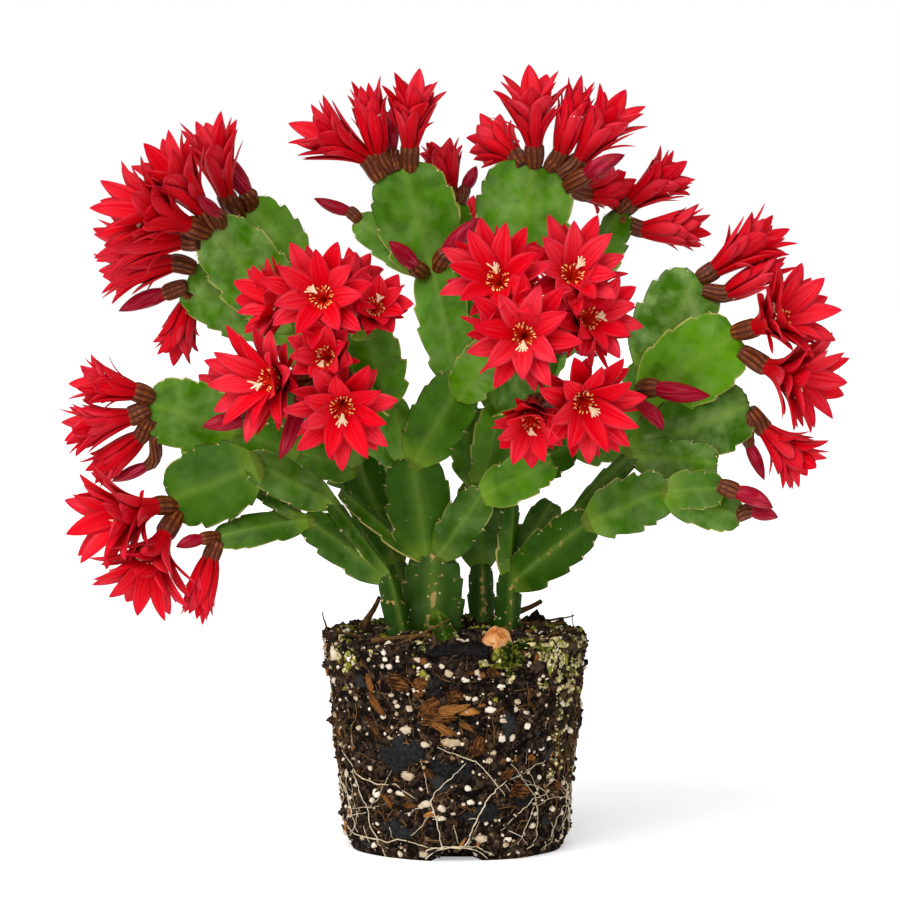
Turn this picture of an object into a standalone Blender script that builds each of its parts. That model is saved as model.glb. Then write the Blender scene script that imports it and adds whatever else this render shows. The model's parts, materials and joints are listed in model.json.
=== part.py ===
"""Easter cactus in full flower, lifted out of its nursery pot: flat crenate pads in arching chains,
bunches of many-petalled flowers on short ribbed tubes, and the bare root ball that stood in the pot.

Metres, +Z up, seen from -Y. The origin is the middle of the root ball's flat underside.
The tables below give places in millimetres, which MM turns to metres."""

import math
import random

import bpy
import bmesh
from mathutils import Matrix, Vector, noise
from mathutils.bvhtree import BVHTree

MM = 0.001

# Root ball: the inside of a 12 cm nursery pot
BALL_TOP_RADIUS = 57.0 * MM
BALL_BASE_RADIUS = 47.5 * MM
BALL_HEIGHT = 93.0 * MM
BALL_STEP_HEIGHT = 5.0 * MM
BALL_STEP_DEPTH = 1.6 * MM
BALL_SIDES = 28
BALL_LEVELS = 6
BALL_ROUGHNESS = 1.3 * MM
BALL_CROWN = 3.0 * MM
RECESS_SIZE = (20.0 * MM, 12.0 * MM, 5.0 * MM)

# Play between pieces that touch
GAP = 0.3 * MM

# A direction that no flower or stick points along, to settle how it is turned about its own length
UPWARD = Vector((0.0, 0.3, 1.0))

# Pads: places along one side from neck to tip, and half widths there as a share of the pad's half width.
# Each tooth rises toward the tip and drops at its areole.
PAD_SIDE = ((0.0, 0.22), (0.26, 0.86), (0.31, 0.78), (0.55, 1.0))
PAD_SIDE += ((0.60, 0.91), (0.80, 0.87), (0.85, 0.75), (0.98, 0.42))
SMALL_PAD_SIDE = ((0.0, 0.26), (0.36, 0.94), (0.42, 0.85), (0.72, 0.96), (0.78, 0.84), (0.97, 0.44))
SMALL_PAD_WIDTH = 22.0 * MM
RIB_ENDS = (0.14, 0.88)
PAD_SINK = 3.0 * MM

# Flowers
TUBE_SIDES = 5
TUBE_FOOT_RADIUS = 3.0 * MM
TUBE_RADIUS = 3.9 * MM
TUBE_SINK = 1.5 * MM
FUNNEL_RADII = (2.3 * MM, 4.1 * MM, 3.5 * MM)
FUNNEL_LEVELS = (0.0, 0.25, 0.36)
STYLE_LEVEL = 0.85
PETAL_WIDTH = 8.0 * MM
PETAL_WAIST = 0.45
PETAL_KEEL = 1.3 * MM
PETAL_RISE = 0.10
INNER_REACH = 0.60
INNER_LIFT = 1.10
OUTER_LIFT = 0.92
WIDE_BLOOM = 18.0
PETAL_FILL = 0.9
PETAL_STRAY = 0.12
PETAL_LENGTHS = (0.94, 1.06)
# How far a petal is drawn in toward the axis, and swung sideways, to pass clear of a neighbour
PETAL_BENDS = [(close, swing) for close in (1.0, 0.75, 0.5, 0.25) for swing in (0.0, 0.25, -0.25)]
BUD_SIDES = 5
BUD_FOOT_RADIUS = 2.4 * MM
BUD_NECK = 0.85
BUD_WAIST = 0.4

# Order of the materials on a leafy stem, after its pads
TUBE_PAINT, BUD_PAINT = 1, 2

# Volume under which a body is a loose scrap
SCRAP_VOLUME = 40.0 * MM**3

# Chains of pads: (neck, tip, width, thickness, facing) in millimetres.
# Each neck is sunk in the pad below, and the first one of each stem in the soil.
FRONT = (0.0, -1.0, 0.0)
STEMS = {
    "stem_centre": (
        ((-10, -14, 85), (-10, -14, 130), 28, 9, FRONT),
        ((-13, -14, 128), (-19, -22, 171), 30, 6, (0.1, -1, 0)),
        ((-7, -16, 128), (12, -30, 157), 20, 5, (-0.2, -1, 0.1)),
        ((11, -29, 155), (41, -40, 171), 21, 5, (0, -1, 0.2)),
        ((-16, -15, 127), (-50, -15, 156), 12, 5, (0.6, -0.8, 0.8)),
        ((-18, -22, 169), (3, -16, 205), 27, 5, (0, -1, 0.1)),
        ((-20, -21, 168), (-29, -16, 197), 17, 5, (0.3, -1, 0)),
        ((1, -16, 201), (-10, 2, 252), 25, 5, FRONT),
        ((-10, 2, 249), (-23, 6, 296), 38, 5, FRONT),
        ((-12, 3, 250), (-43, 14, 273), 18, 5, (-0.6, -0.5, 0.6)),
        ((-9, 4, 249), (0, 24, 281), 22, 5, (0.2, -1, 0)),
        ((-29, -17, 194), (-39, -44, 230), 27, 5, (-0.2, -1, 0.2)),
        ((-29, -18, 193), (-47, -54, 210), 22, 5, (-0.3, -1, 0.6)),
        ((-37, -42, 226), (-52, -51, 237), 15, 5, (-0.2, -1, 0.6)),
        ((-46, -53, 209), (-62, -55, 206), 15, 5, (0, -1, 0.4)),
        ((-60, -55, 206), (-84, -54, 191), 15, 5, (0, -1, 0.4)),
        ((1, -17, 196), (18, -50, 222), 22, 5, (0.2, -1, 0.3)),
        ((17, -48, 220), (19, -52, 239), 15, 5, (0, -1, 0.2)),
    ),
    "stem_left": (
        ((-22, -26, 85), (-30, -26, 122), 12, 10, (0.5, -1, 0)),
        ((-30, -26, 119), (-65, -34, 146), 19, 5, (0.3, -1, 0.3)),
        ((-29, -26, 120), (-55, -28, 154), 12, 5, (0.6, -0.8, 0.8)),
        ((-53, -28, 152), (-88, -40, 171), 20, 5, (0.2, -1, 0.4)),
        ((-63, -34, 145), (-102, -38, 138), 17, 5, (0, -1, 0.6)),
        ((-66, -34, 145), (-88, -27, 160), 12, 4, (0.3, -0.6, 0.9)),
        ((-85, -40, 169), (-122, -36, 154), 36, 5, (0, -1, 0.1)),
    ),
    "stem_upper_left": (
        ((-16, 12, 85), (-27, 10, 124), 14, 9, (0.3, -1, 0)),
        ((-26, 10, 121), (-43, 6, 168), 24, 5, (0.2, -1, 0)),
        ((-42, 6, 166), (-58, 2, 200), 24, 5, (0.7, -0.8, 0)),
        ((-57, 2, 197), (-71, -2, 230), 26, 5, (-0.6, -0.8, 0)),
        ((-70, -2, 227), (-105, -12, 270), 34, 5, (-0.1, -1, 0.1)),
        ((-69, -1, 225), (-117, 4, 246), 31, 5, FRONT),
        ((-69, -1, 227), (-68, 10, 255), 22, 5, (0.8, -0.6, 0)),
        ((-68, 10, 253), (-90, 14, 279), 25, 5, (0, -1, 0.2)),
        ((-43, 6, 164), (-70, 0, 172), 18, 5, (0, -1, 0.3)),
        ((-68, 0, 171), (-97, -6, 182), 20, 5, (0, -1, 0.2)),
        ((-95, -6, 181), (-133, -8, 194), 33, 5, FRONT),
    ),
    "stem_right": (
        ((22, -8, 85), (23, -10, 122), 13, 10, (0.4, -1, 0)),
        ((24, -10, 115), (58, -30, 145), 24, 5, (-0.2, -1, 0.2)),
        ((57, -30, 144), (91, -34, 159), 26, 5, (0, -1, 0.1)),
        ((90, -34, 158), (114, -38, 159), 18, 5, (0, -1, 0.1)),
        ((89, -34, 157), (122, -30, 146), 20, 5, (0, -1, 0.2)),
        ((23, -10, 120), (61, -16, 155), 13, 5, (-0.5, -0.6, 0.8)),
        ((50, -15, 145), (78, -14, 173), 15, 5, (-0.5, -0.6, 0.8)),
        ((77, -14, 171), (82, -5, 210), 24, 5, FRONT),
        ((82, -5, 207), (106, 12, 248), 36, 5, (0.1, -1, 0)),
        ((81, -9, 196), (121, -12, 224), 37, 5, (0, -1, 0.1)),
        ((76, -14, 172), (127, -8, 193), 34, 5, (0, -1, 0.1)),
        ((76, -15, 171), (112, -28, 169), 20, 5, (0, -1, 0.3)),
        ((22, -10, 119), (24, -16, 151), 14, 5, (0.7, -0.7, 0)),
    ),
    "stem_upper_right": (
        ((11, 12, 85), (11, 14, 123), 13, 9, (0.2, -1, 0)),
        ((11, 14, 120), (10, 8, 160), 24, 5, (0.2, -1, 0)),
        ((10, 8, 158), (18, 2, 193), 24, 5, (0.7, -0.7, 0)),
        ((17, 2, 190), (22, 2, 225), 26, 5, (-0.6, -0.8, 0)),
        ((22, 2, 222), (25, 6, 256), 26, 5, (0.5, -0.8, 0)),
        ((24, 6, 254), (34, 12, 297), 43, 5, FRONT),
        ((18, 2, 190), (44, 14, 216), 24, 5, (-0.5, -0.8, 0.3)),
        ((43, 14, 213), (63, 28, 248), 24, 5, (0.7, -0.7, 0)),
        ((63, 28, 246), (72, 36, 276), 22, 5, (-0.7, -0.7, 0)),
        ((18, 1, 190), (42, -47, 218), 21, 5, (0.2, -1, 0.5)),
        ((41, -45, 216), (47, -48, 240), 15, 5, (0, -1, 0.2)),
        ((18, 2, 188), (44, -50, 196), 20, 5, (0.2, -0.8, 0.8)),
    ),
    "stem_back": (
        ((-4, 28, 85), (-6, 31, 124), 17, 9, (0, 1, 0)),
        ((-7, 31, 121), (-30, 44, 156), 26, 5, (-0.7, 0.7, -0.3)),
        ((-30, 44, 154), (-48, 58, 190), 28, 5, (0.5, 0.8, -0.2)),
        ((-48, 58, 188), (-58, 68, 226), 32, 5, (-0.6, 0.8, 0)),
        ((-30, 44, 153), (-62, 52, 170), 24, 5, (0, 1, -0.2)),
        ((-61, 52, 169), (-92, 56, 184), 28, 5, (0, 1, -0.1)),
        ((-5, 31, 121), (16, 44, 158), 26, 5, (0.8, 0.6, -0.3)),
        ((15, 44, 156), (30, 56, 192), 28, 5, (-0.5, 0.8, -0.2)),
        ((30, 56, 190), (38, 66, 228), 33, 5, (0.6, 0.8, 0)),
        ((16, 44, 156), (52, 54, 172), 24, 5, (0, 1, -0.2)),
        ((51, 54, 171), (84, 58, 184), 30, 5, (0, 1, 0)),
        ((29, 55, 189), (10, 50, 222), 24, 5, (0.7, 0.7, 0)),
        ((10, 50, 220), (0, 46, 256), 28, 5, (-0.6, 0.8, 0)),
    ),
}

# Open flowers by bunch and the stem that carries it:
# (foot of the tube, end of the tube, middle of the petal tips, spread of the tips)
BLOOMS = {
    ("blooms_upper_left", "stem_upper_left"): (
        ((-97, 6, 278), (-100, 4, 284), (-107, -6, 314), 14),
        ((-106, -12, 272), (-109, -14, 277), (-127, -30, 302), 17),
        ((-109, -14, 269), (-115, -18, 271), (-144, -36, 283), 20),
        ((-112, -8, 264), (-118, -6, 264), (-153, -8, 262), 15),
        ((-117, 2, 253), (-123, 4, 254), (-154, 8, 249), 13),
        ((-116, 5, 241), (-117, 10, 236), (-124, 18, 214), 11),
    ),
    ("blooms_mid_left", "stem_upper_left"): (
        ((-134, -8, 197), (-139, -10, 199), (-162, -16, 205), 12),
        ((-134, -8, 191), (-141, -8, 188), (-169, -12, 182), 13),
        ((-133, -6, 186), (-138, -4, 178), (-158, 0, 163), 9),
    ),
    ("blooms_lower_left", "stem_left"): (
        ((-122, -36, 151), (-128, -42, 152), (-154, -62, 146), 22),
        ((-120, -36, 147), (-124, -42, 140), (-136, -60, 117), 23),
        ((-103, -38, 135), (-105, -38, 129), (-112, -40, 104), 8),
    ),
    ("blooms_front_left", "stem_centre"): (
        ((-52, -53, 237), (-54, -60, 239), (-58, -88, 245), 24),
        ((-54, -50, 237), (-64, -50, 237), (-86, -62, 242), 18),
        ((-38, -46, 230), (-36, -54, 234), (-32, -78, 241), 14),
        ((-48, -56, 212), (-52, -66, 215), (-57, -90, 220), 15),
        ((-62, -56, 207), (-69, -60, 207), (-88, -82, 207), 25),
        ((-46, -57, 207), (-48, -66, 200), (-47, -94, 193), 24),
    ),
    ("blooms_top_left", "stem_centre"): (
        ((-34, 6, 292), (-39, 6, 300), (-65, -4, 315), 15),
        ((-29, 6, 295), (-34, 4, 303), (-39, -4, 330), 9),
        ((-20, 6, 295), (-20, 4, 305), (-18, -6, 332), 14),
    ),
    ("blooms_top_back", "stem_centre"): (
        ((-1, 24, 280), (-3, 26, 287), (-7, 26, 306), 11),
    ),
    ("blooms_top_right", "stem_upper_right"): (
        ((34, 12, 297), (34, 10, 305), (32, 2, 333), 17),
        ((29, 14, 296), (26, 20, 300), (14, 38, 309), 13),
        ((41, 12, 297), (46, 10, 303), (54, 2, 331), 8),
        ((46, 12, 293), (54, 12, 299), (71, 4, 324), 16),
        ((49, 14, 286), (58, 24, 284), (72, 44, 286), 11),
    ),
    ("blooms_right_top", "stem_upper_right"): (
        ((73, 36, 276), (78, 36, 280), (99, 28, 296), 13),
        ((75, 34, 271), (83, 32, 268), (108, 24, 269), 11),
    ),
    ("blooms_right", "stem_right"): (
        ((107, 12, 248), (113, 12, 251), (139, 4, 270), 14),
        ((109, 10, 242), (119, 10, 241), (143, 4, 255), 7),
        ((122, -12, 225), (129, -16, 227), (149, -36, 237), 22),
        ((124, -10, 216), (134, -12, 210), (157, -28, 202), 23),
        ((128, -8, 190), (134, -6, 182), (153, -10, 165), 15),
    ),
    ("blooms_front_right", "stem_upper_right"): (
        ((19, -52, 240), (20, -58, 244), (15, -86, 254), 24),
        ((47, -48, 241), (47, -54, 246), (50, -80, 257), 23),
        ((22, -52, 222), (29, -65, 225), (27, -96, 228), 25),
        ((44, -49, 219), (50, -58, 230), (61, -80, 236), 21),
        ((45, -52, 197), (50, -62, 202), (57, -90, 195), 25),
        ((41, -52, 196), (32, -62, 196), (30, -84, 184), 16),
    ),
    ("blooms_back_left", "stem_back"): (
        ((-60, 70, 227), (-63, 76, 230), (-74, 98, 236), 19),
        ((-57, 71, 225), (-55, 79, 221), (-50, 104, 212), 19),
        ((-56, 70, 229), (-52, 75, 235), (-44, 92, 250), 14),
    ),
    ("blooms_back_low_left", "stem_back"): (
        ((-94, 58, 186), (-98, 64, 188), (-108, 88, 194), 15),
        ((-93, 58, 182), (-93, 65, 178), (-92, 90, 170), 15),
    ),
    ("blooms_back_right", "stem_back"): (
        ((40, 68, 229), (44, 75, 232), (58, 96, 240), 18),
        ((38, 69, 227), (36, 78, 224), (34, 104, 218), 20),
        ((36, 68, 230), (32, 73, 236), (22, 90, 250), 14),
    ),
    ("blooms_back_low_right", "stem_back"): (
        ((86, 60, 186), (90, 66, 189), (101, 88, 196), 15),
        ((85, 60, 182), (86, 68, 179), (88, 92, 172), 15),
    ),
    ("blooms_back_top", "stem_back"): (
        ((1, 48, 257), (2, 54, 261), (8, 76, 272), 14),
        ((-2, 48, 256), (-6, 54, 259), (-18, 76, 262), 13),
    ),
}

# Buds by stem: (foot of the tube, end of the tube, point, radius)
BUDS = {
    "stem_centre": (
        ((-26, 7, 295), (-28, 11, 303), (-28, 16, 322), 3.5),
        ((-43, 14, 273), (-46, 15, 276), (-62, 18, 282), 3),
        ((-14, 0, 250), (-18, -6, 253), (-29, -13, 264), 4),
        ((-8, 2, 252), (-5, 0, 258), (10, -6, 274), 4),
        ((2, 25, 280), (4, 28, 286), (9, 32, 296), 3),
        ((-83, -54, 191), (-90, -56, 189), (-107, -60, 187), 4),
        ((-59, -57, 204), (-65, -65, 198), (-74, -76, 174), 4),
    ),
    "stem_left": (
        ((-103, -38, 138), (-108, -43, 138), (-119, -48, 135), 3),
    ),
    "stem_upper_left": (
        ((-90, 14, 278), (-91, 12, 284), (-102, 8, 303), 4.5),
        ((-118, 4, 244), (-126, 6, 241), (-147, 10, 233), 4),
        ((-101, -12, 271), (-102, -19, 276), (-110, -33, 284), 3),
        ((-131, -6, 185), (-134, 1, 166), (-150, 4, 159), 3),
    ),
    "stem_right": (
        ((113, -38, 160), (119, -39, 158), (135, -41, 151), 4),
        ((121, -30, 147), (126, -30, 149), (138, -30, 146), 3.5),
        ((80, -10, 200), (86, -19, 201), (109, -26, 198), 4.5),
        ((79, -11, 196), (79, -24, 194), (88, -38, 184), 3.5),
        ((127, -8, 186), (127, -4, 176), (134, -2, 160), 3),
    ),
    "stem_upper_right": (
        ((49, 10, 288), (56, 5, 292), (73, -2, 301), 4),
    ),
    "stem_back": (
        ((-90, 57, 182), (-86, 62, 177), (-76, 72, 164), 4),
        ((83, 59, 181), (78, 64, 177), (68, 74, 166), 4),
        ((42, 68, 225), (50, 72, 221), (64, 80, 210), 4),
        ((-62, 69, 224), (-70, 73, 220), (-84, 80, 210), 4),
    ),
}

# Loose things on the soil: (middle, half sizes, turn about the vertical in degrees, unevenness, detail)
STONE = ((17, -46, 95.5), (6.5, 5, 4.5), 20, 0.5, 2)
MOSS_CLUMP = ((21, -52, 89), (6, 4, 4.5), 0, 0.6, 2)
BARK_CHIP = ((-6, -52.5, 63), (10.5, 3, 4.2), 0, 0.5, 1)
# Sticks: (one end, other end, radius)
CHARRED_STICK = ((-15, -50, 94.4), (9, -52, 94), 2.2)
LONG_TWIG = ((-36, -43, 94.2), (-11, -34, 95.9), 1.3)
BACK_TWIG = ((26, 6, 96), (48, 20, 94.4), 1.6)


def clear_scene():
    for thing in list(bpy.data.objects):
        bpy.data.objects.remove(thing)


def paint(name, colour, roughness):
    """A Principled material from an sRGB hex colour."""
    channels = [int(colour[i : i + 2], 16) / 255 for i in (0, 2, 4)]
    linear = [c / 12.92 if c <= 0.04045 else ((c + 0.055) / 1.055) ** 2.4 for c in channels]
    made = bpy.data.materials.new(name)
    made.use_nodes = True
    shader = made.node_tree.nodes["Principled BSDF"]
    shader.inputs["Base Color"].default_value = (*linear, 1.0)
    shader.inputs["Roughness"].default_value = roughness
    shader.inputs["Metallic"].default_value = 0.0
    made.diffuse_color = (*linear, 1.0)
    return made


def point(place):
    return Vector(place) * MM


def mesh_from(bm, name):
    """Closes a bmesh into a mesh of outward-facing triangles."""
    bmesh.ops.recalc_face_normals(bm, faces=bm.faces)
    bmesh.ops.triangulate(bm, faces=bm.faces)
    made = bpy.data.meshes.new(name)
    bm.to_mesh(made)
    bm.free()
    return made


def frame_along(axis, facing):
    """Unit vectors (across, along, out) of a flat piece that runs along axis and faces facing."""
    along = axis.normalized()
    out = facing - along * facing.dot(along)
    if out.length < 0.05:
        out = along.orthogonal()
    out.normalize()
    return along.cross(out), along, out


def pad(neck, tip, width, thick, facing, grow=0.0):
    """A pad with toothed sides and a cut-off tip, thickest along its rib; grow swells it for a socket."""
    neck, tip = point(neck), point(tip)
    neck -= (tip - neck).normalized() * PAD_SINK
    length = (tip - neck).length
    across, along, out = frame_along(tip - neck, Vector(facing))
    half = width * MM / 2 + grow
    side = SMALL_PAD_SIDE if width * MM < SMALL_PAD_WIDTH else PAD_SIDE
    bm = bmesh.new()

    def place(share, x, z):
        return bm.verts.new(neck + along * (share * length) + across * x + out * z)

    edges = [[place(share, sign * wide * half, 0.0) for share, wide in side] for sign in (-1, 1)]
    middle = sum(RIB_ENDS) / 2
    for z in (-1, 1):
        rib = [place(share, 0.0, z * (thick * MM / 2 + grow)) for share in RIB_ENDS]
        for edge in edges:
            last = 0
            for i in range(len(side) - 1):
                nearest = 0 if (side[i][0] + side[i + 1][0]) / 2 < middle else 1
                if nearest != last:
                    bm.faces.new((edge[i], rib[1], rib[0]))
                    last = nearest
                bm.faces.new((edge[i], edge[i + 1], rib[nearest]))
        bm.faces.new((edges[0][0], edges[1][0], rib[0]))
        bm.faces.new((edges[0][-1], edges[1][-1], rib[1]))
    return mesh_from(bm, "pad")


def ring(bm, centre, across, out, radius, sides, turn=0.0):
    """A ring of points round a centre, in the plane of two unit vectors; turn is in steps."""
    angles = [(i + turn) * 2 * math.pi / sides for i in range(sides)]
    return [bm.verts.new(centre + (across * math.cos(a) + out * math.sin(a)) * radius) for a in angles]


def zigzag(bm, low, high):
    """Joins two rings set half a step apart with half of the triangles between them.
    Returns the corners of the other half, which hang from the upper ring."""
    sides = len(low)
    hanging = []
    for i in range(sides):
        j = (i + 1) % sides
        bm.faces.new((low[i], low[j], high[i]))
        hanging.append((high[i], high[j], low[j]))
    return hanging


def tube(foot, end, aim, pads):
    """The ribbed brown tube below a flower, from where it grows on a pad to the first petals.
    Its end lies square to the flower, which aims at aim."""
    foot, end = pads.find_nearest(point(foot))[0], point(end)
    across, along, out = frame_along(end - foot, UPWARD)
    bm = bmesh.new()
    low = ring(bm, foot - along * TUBE_SINK, across, out, TUBE_FOOT_RADIUS, TUBE_SIDES)
    across, _, out = frame_along(point(aim) - end, out)
    high = ring(bm, end, across, out, TUBE_RADIUS, TUBE_SIDES, 0.5)
    for corners in zigzag(bm, low, high):
        bm.faces.new(corners)
    bm.faces.new(low)
    bm.faces.new(high)
    made = mesh_from(bm, "tube")
    for face in made.polygons:
        face.material_index = TUBE_PAINT
    return made


def bud(foot, end, tip, radius, pads):
    """A pointed bud on its own short tube."""
    foot, end, tip = pads.find_nearest(point(foot))[0], point(end), point(tip)
    across, along, out = frame_along(end - foot, UPWARD)
    bm = bmesh.new()
    low = ring(bm, foot - along * TUBE_SINK, across, out, BUD_FOOT_RADIUS, BUD_SIDES)
    across, _, out = frame_along(tip - end, out)
    neck = ring(bm, end, across, out, radius * MM * BUD_NECK, BUD_SIDES, 0.5)
    wide = ring(bm, end.lerp(tip, BUD_WAIST), across, out, radius * MM, BUD_SIDES, 1.0)
    bm.faces.new(low)
    for lower, upper in ((low, neck), (neck, wide)):
        for corners in zigzag(bm, lower, upper):
            bm.faces.new(corners)
    peak = bm.verts.new(tip)
    for i in range(BUD_SIDES):
        bm.faces.new((wide[i], wide[(i + 1) % BUD_SIDES], peak))
    made = mesh_from(bm, "bud")
    for face in made.polygons:
        beyond = (face.center - end).dot(tip - end) > 0
        face.material_index = BUD_PAINT if beyond else TUBE_PAINT
    return made


def petal_places(corners, centre, along, outward, tip_radius, tip_height, count, grow=0.0):
    """Section at the middle of a petal (left, right, keel) and its point, for a petal that grows
    from three corners of the funnel."""
    left, right, keel = corners
    root = (left + right) / 2
    tip = centre + along * tip_height + outward * tip_radius
    middle = root.lerp(tip, PETAL_WAIST) + along * ((tip - root).length * PETAL_RISE)
    radius = (middle - centre - along * (middle - centre).dot(along)).length
    half = min(PETAL_WIDTH, 2 * radius * math.tan(math.pi / count) * PETAL_FILL) / 2 + grow
    across = (right - left).normalized()
    below = across.cross(tip - middle).normalized()
    if below.dot(keel - root) < 0:
        below = -below
    section = (middle - across * half - below * grow, middle + across * half - below * grow)
    section += (middle + below * (PETAL_KEEL + grow),)
    return section, tip


def petal_faces(corners, section, tip):
    """Corners of the six faces of a petal, from its root to its point."""
    faces = []
    for i in range(3):
        j = (i + 1) % 3
        faces.append((corners[i], corners[j], section[j]))
        faces.append((corners[i], section[j], section[i]))
        faces.append((section[i], section[j], tip))
    return faces


def crosses(faces, obstacles):
    """Whether a petal's faces meet anything that was made before it."""
    places = [corner for face in faces for corner in face]
    index = [(3 * i, 3 * i + 1, 3 * i + 2) for i in range(len(faces))]
    blade = BVHTree.FromPolygons(places, index)
    return any(blade.overlap(other) for other in obstacles)


def bloom(base, aim, spread, seed, obstacles):
    """An open flower: a funnel with two rings of petals and a column for stamens and style.
    A petal that would meet a neighbour is bent clear of it."""
    draw = random.Random(seed)
    base, aim = point(base), point(aim)
    across, along, out = frame_along(aim - base, UPWARD)
    height = (aim - base).length
    centre = base + along * GAP
    count = 7 if spread >= WIDE_BLOOM else 6
    turn = draw.random()
    bm = bmesh.new()
    rings = [
        ring(bm, centre + along * (height * level), across, out, radius, count, turn + i / 2)
        for i, (level, radius) in enumerate(zip(FUNNEL_LEVELS, FUNNEL_RADII))
    ]
    bm.faces.new(rings[0])
    style = bm.verts.new(centre + along * (height * STYLE_LEVEL))
    for i in range(count):
        bm.faces.new((rings[2][i], rings[2][(i + 1) % count], style))
    reaches = ((spread * MM, OUTER_LIFT * height), (spread * MM * INNER_REACH, INNER_LIFT * height))
    for layer, (reach, lift) in enumerate(reaches):
        for corners in zigzag(bm, rings[layer], rings[layer + 1]):
            places = [corner.co.copy() for corner in corners]
            outward = places[2] - centre
            outward = (outward - along * outward.dot(along)).normalized()
            stray = draw.uniform(-PETAL_STRAY, PETAL_STRAY)
            outward = (outward + along.cross(outward) * stray).normalized()
            length = draw.uniform(*PETAL_LENGTHS)
            for close, swing in PETAL_BENDS:
                way = (outward + along.cross(outward) * swing).normalized()
                shape = (along, way, reach * length * close, lift * length, count)
                section, tip = petal_places(places, centre, *shape, grow=GAP)
                if not crosses(petal_faces(places, section, tip)[1:], obstacles):
                    break
            section, tip = petal_places(places, centre, *shape)
            section = [bm.verts.new(place) for place in section]
            for face in petal_faces(corners, section, bm.verts.new(tip)):
                bm.faces.new(face)
    return mesh_from(bm, "bloom")


def stick(first, last, radius, grow=0.0):
    """A short six-sided stick, thinner toward its second end."""
    first, last = point(first), point(last)
    across, along, out = frame_along(last - first, UPWARD)
    bm = bmesh.new()
    thick = ring(bm, first - along * grow, across, out, radius * MM + grow, 6)
    thin = ring(bm, last + along * grow, across, out, radius * MM * 0.75 + grow, 6, 0.5)
    for corners in zigzag(bm, thick, thin):
        bm.faces.new(corners)
    bm.faces.new(thick)
    bm.faces.new(thin)
    return mesh_from(bm, "stick")


def lump(middle, halves, turn, roughness, detail, grow=0.0):
    """A rounded lump with an uneven surface, such as a stone or a cushion of moss."""
    bm = bmesh.new()
    bmesh.ops.create_icosphere(bm, subdivisions=detail, radius=1.0)
    spin = Matrix.Rotation(math.radians(turn), 3, "Z")
    centre = point(middle)
    for vert in bm.verts:
        way = vert.co.normalized()
        swell = 1.0 + roughness * noise.noise(way * 1.7 + centre * 300)
        reach = Vector([way[k] * (halves[k] * MM * swell + grow) for k in range(3)])
        vert.co = centre + spin @ reach
    return mesh_from(bm, "lump")


def soil_radius(share, angle):
    """Radius of the root ball at a share of its height: a taper with a crumbly surface."""
    plain = BALL_BASE_RADIUS + (BALL_TOP_RADIUS - BALL_BASE_RADIUS) * share
    where = Vector((math.cos(angle), math.sin(angle), share * 2.0)) * 2.3
    return plain + BALL_ROUGHNESS * noise.noise(where)


def soil_height(x, y):
    """Height of the crumbly top, crowned a little round the stems."""
    out = min(1.0, math.hypot(x, y) / BALL_TOP_RADIUS)
    bumps = noise.noise(Vector((x, y, 0.0)) * 90.0)
    return BALL_HEIGHT + BALL_CROWN * (1.0 - out * out) + BALL_ROUGHNESS * bumps


def root_ball_body():
    """The tapered body with a stepped foot, a flat underside and a crumbly top."""
    bm = bmesh.new()
    step = 2 * math.pi / BALL_SIDES
    rise = (BALL_HEIGHT - BALL_STEP_HEIGHT) / BALL_LEVELS
    heights = [0.0, BALL_STEP_HEIGHT * 0.9]
    heights += [BALL_STEP_HEIGHT + rise * i for i in range(BALL_LEVELS)]
    levels = []
    for k, height in enumerate(heights):
        inset = BALL_STEP_DEPTH if k < 2 else 0.0
        level = []
        for i in range(BALL_SIDES):
            reach = soil_radius(height / BALL_HEIGHT, i * step) - inset
            level.append(bm.verts.new((reach * math.cos(i * step), reach * math.sin(i * step), height)))
        levels.append(level)
    for share in (1.0, 0.72, 0.4):
        level = []
        for i in range(BALL_SIDES):
            reach = soil_radius(1.0, i * step) * share
            x, y = reach * math.cos(i * step), reach * math.sin(i * step)
            level.append(bm.verts.new((x, y, soil_height(x, y))))
        levels.append(level)
    for low, high in zip(levels, levels[1:]):
        for i in range(BALL_SIDES):
            j = (i + 1) % BALL_SIDES
            bm.faces.new((low[i], low[j], high[j], high[i]))
    for level, height in ((levels[0], 0.0), (levels[-1], soil_height(0.0, 0.0))):
        middle = bm.verts.new((0.0, 0.0, height))
        for i in range(BALL_SIDES):
            bm.faces.new((level[i], level[(i + 1) % BALL_SIDES], middle))
    return mesh_from(bm, "root_ball")


def recess():
    """The notch that a foot of the pot pressed into the front of the underside."""
    bm = bmesh.new()
    bmesh.ops.create_cube(bm, size=1.0)
    for vert in bm.verts:
        vert.co = Vector([vert.co[k] * RECESS_SIZE[k] for k in range(3)])
        vert.co.y -= BALL_BASE_RADIUS
    return mesh_from(bm, "recess")


def add_object(name, mesh, materials, collection=None):
    """Adds a mesh to the scene with its list of materials, which its faces pick from by index."""
    thing = bpy.data.objects.new(name, mesh)
    (collection or bpy.context.scene.collection).objects.link(thing)
    picked = [face.material_index for face in mesh.polygons]
    mesh.materials.clear()
    for material in materials:
        mesh.materials.append(material)
    mesh.polygons.foreach_set("material_index", picked)
    return thing


def combine(name, meshes, materials, operation="UNION"):
    """One solid from the first mesh and the rest, joined to it or cut from it."""
    if len(meshes) == 1:
        return meshes[0]
    body = add_object(name, meshes[0], materials)
    others = bpy.data.collections.new(name + "_others")
    bpy.context.scene.collection.children.link(others)
    for i, mesh in enumerate(meshes[1:]):
        add_object(f"{name}_other_{i}", mesh, materials, others)
    joint = body.modifiers.new("Join", "BOOLEAN")
    joint.operation = operation
    joint.operand_type = "COLLECTION"
    joint.collection = others
    joint.solver = "MANIFOLD"
    graph = bpy.context.evaluated_depsgraph_get()
    result = bpy.data.meshes.new_from_object(body.evaluated_get(graph))
    for thing in [body, *others.objects]:
        bpy.data.objects.remove(thing)
    bpy.data.collections.remove(others)
    return result


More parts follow.
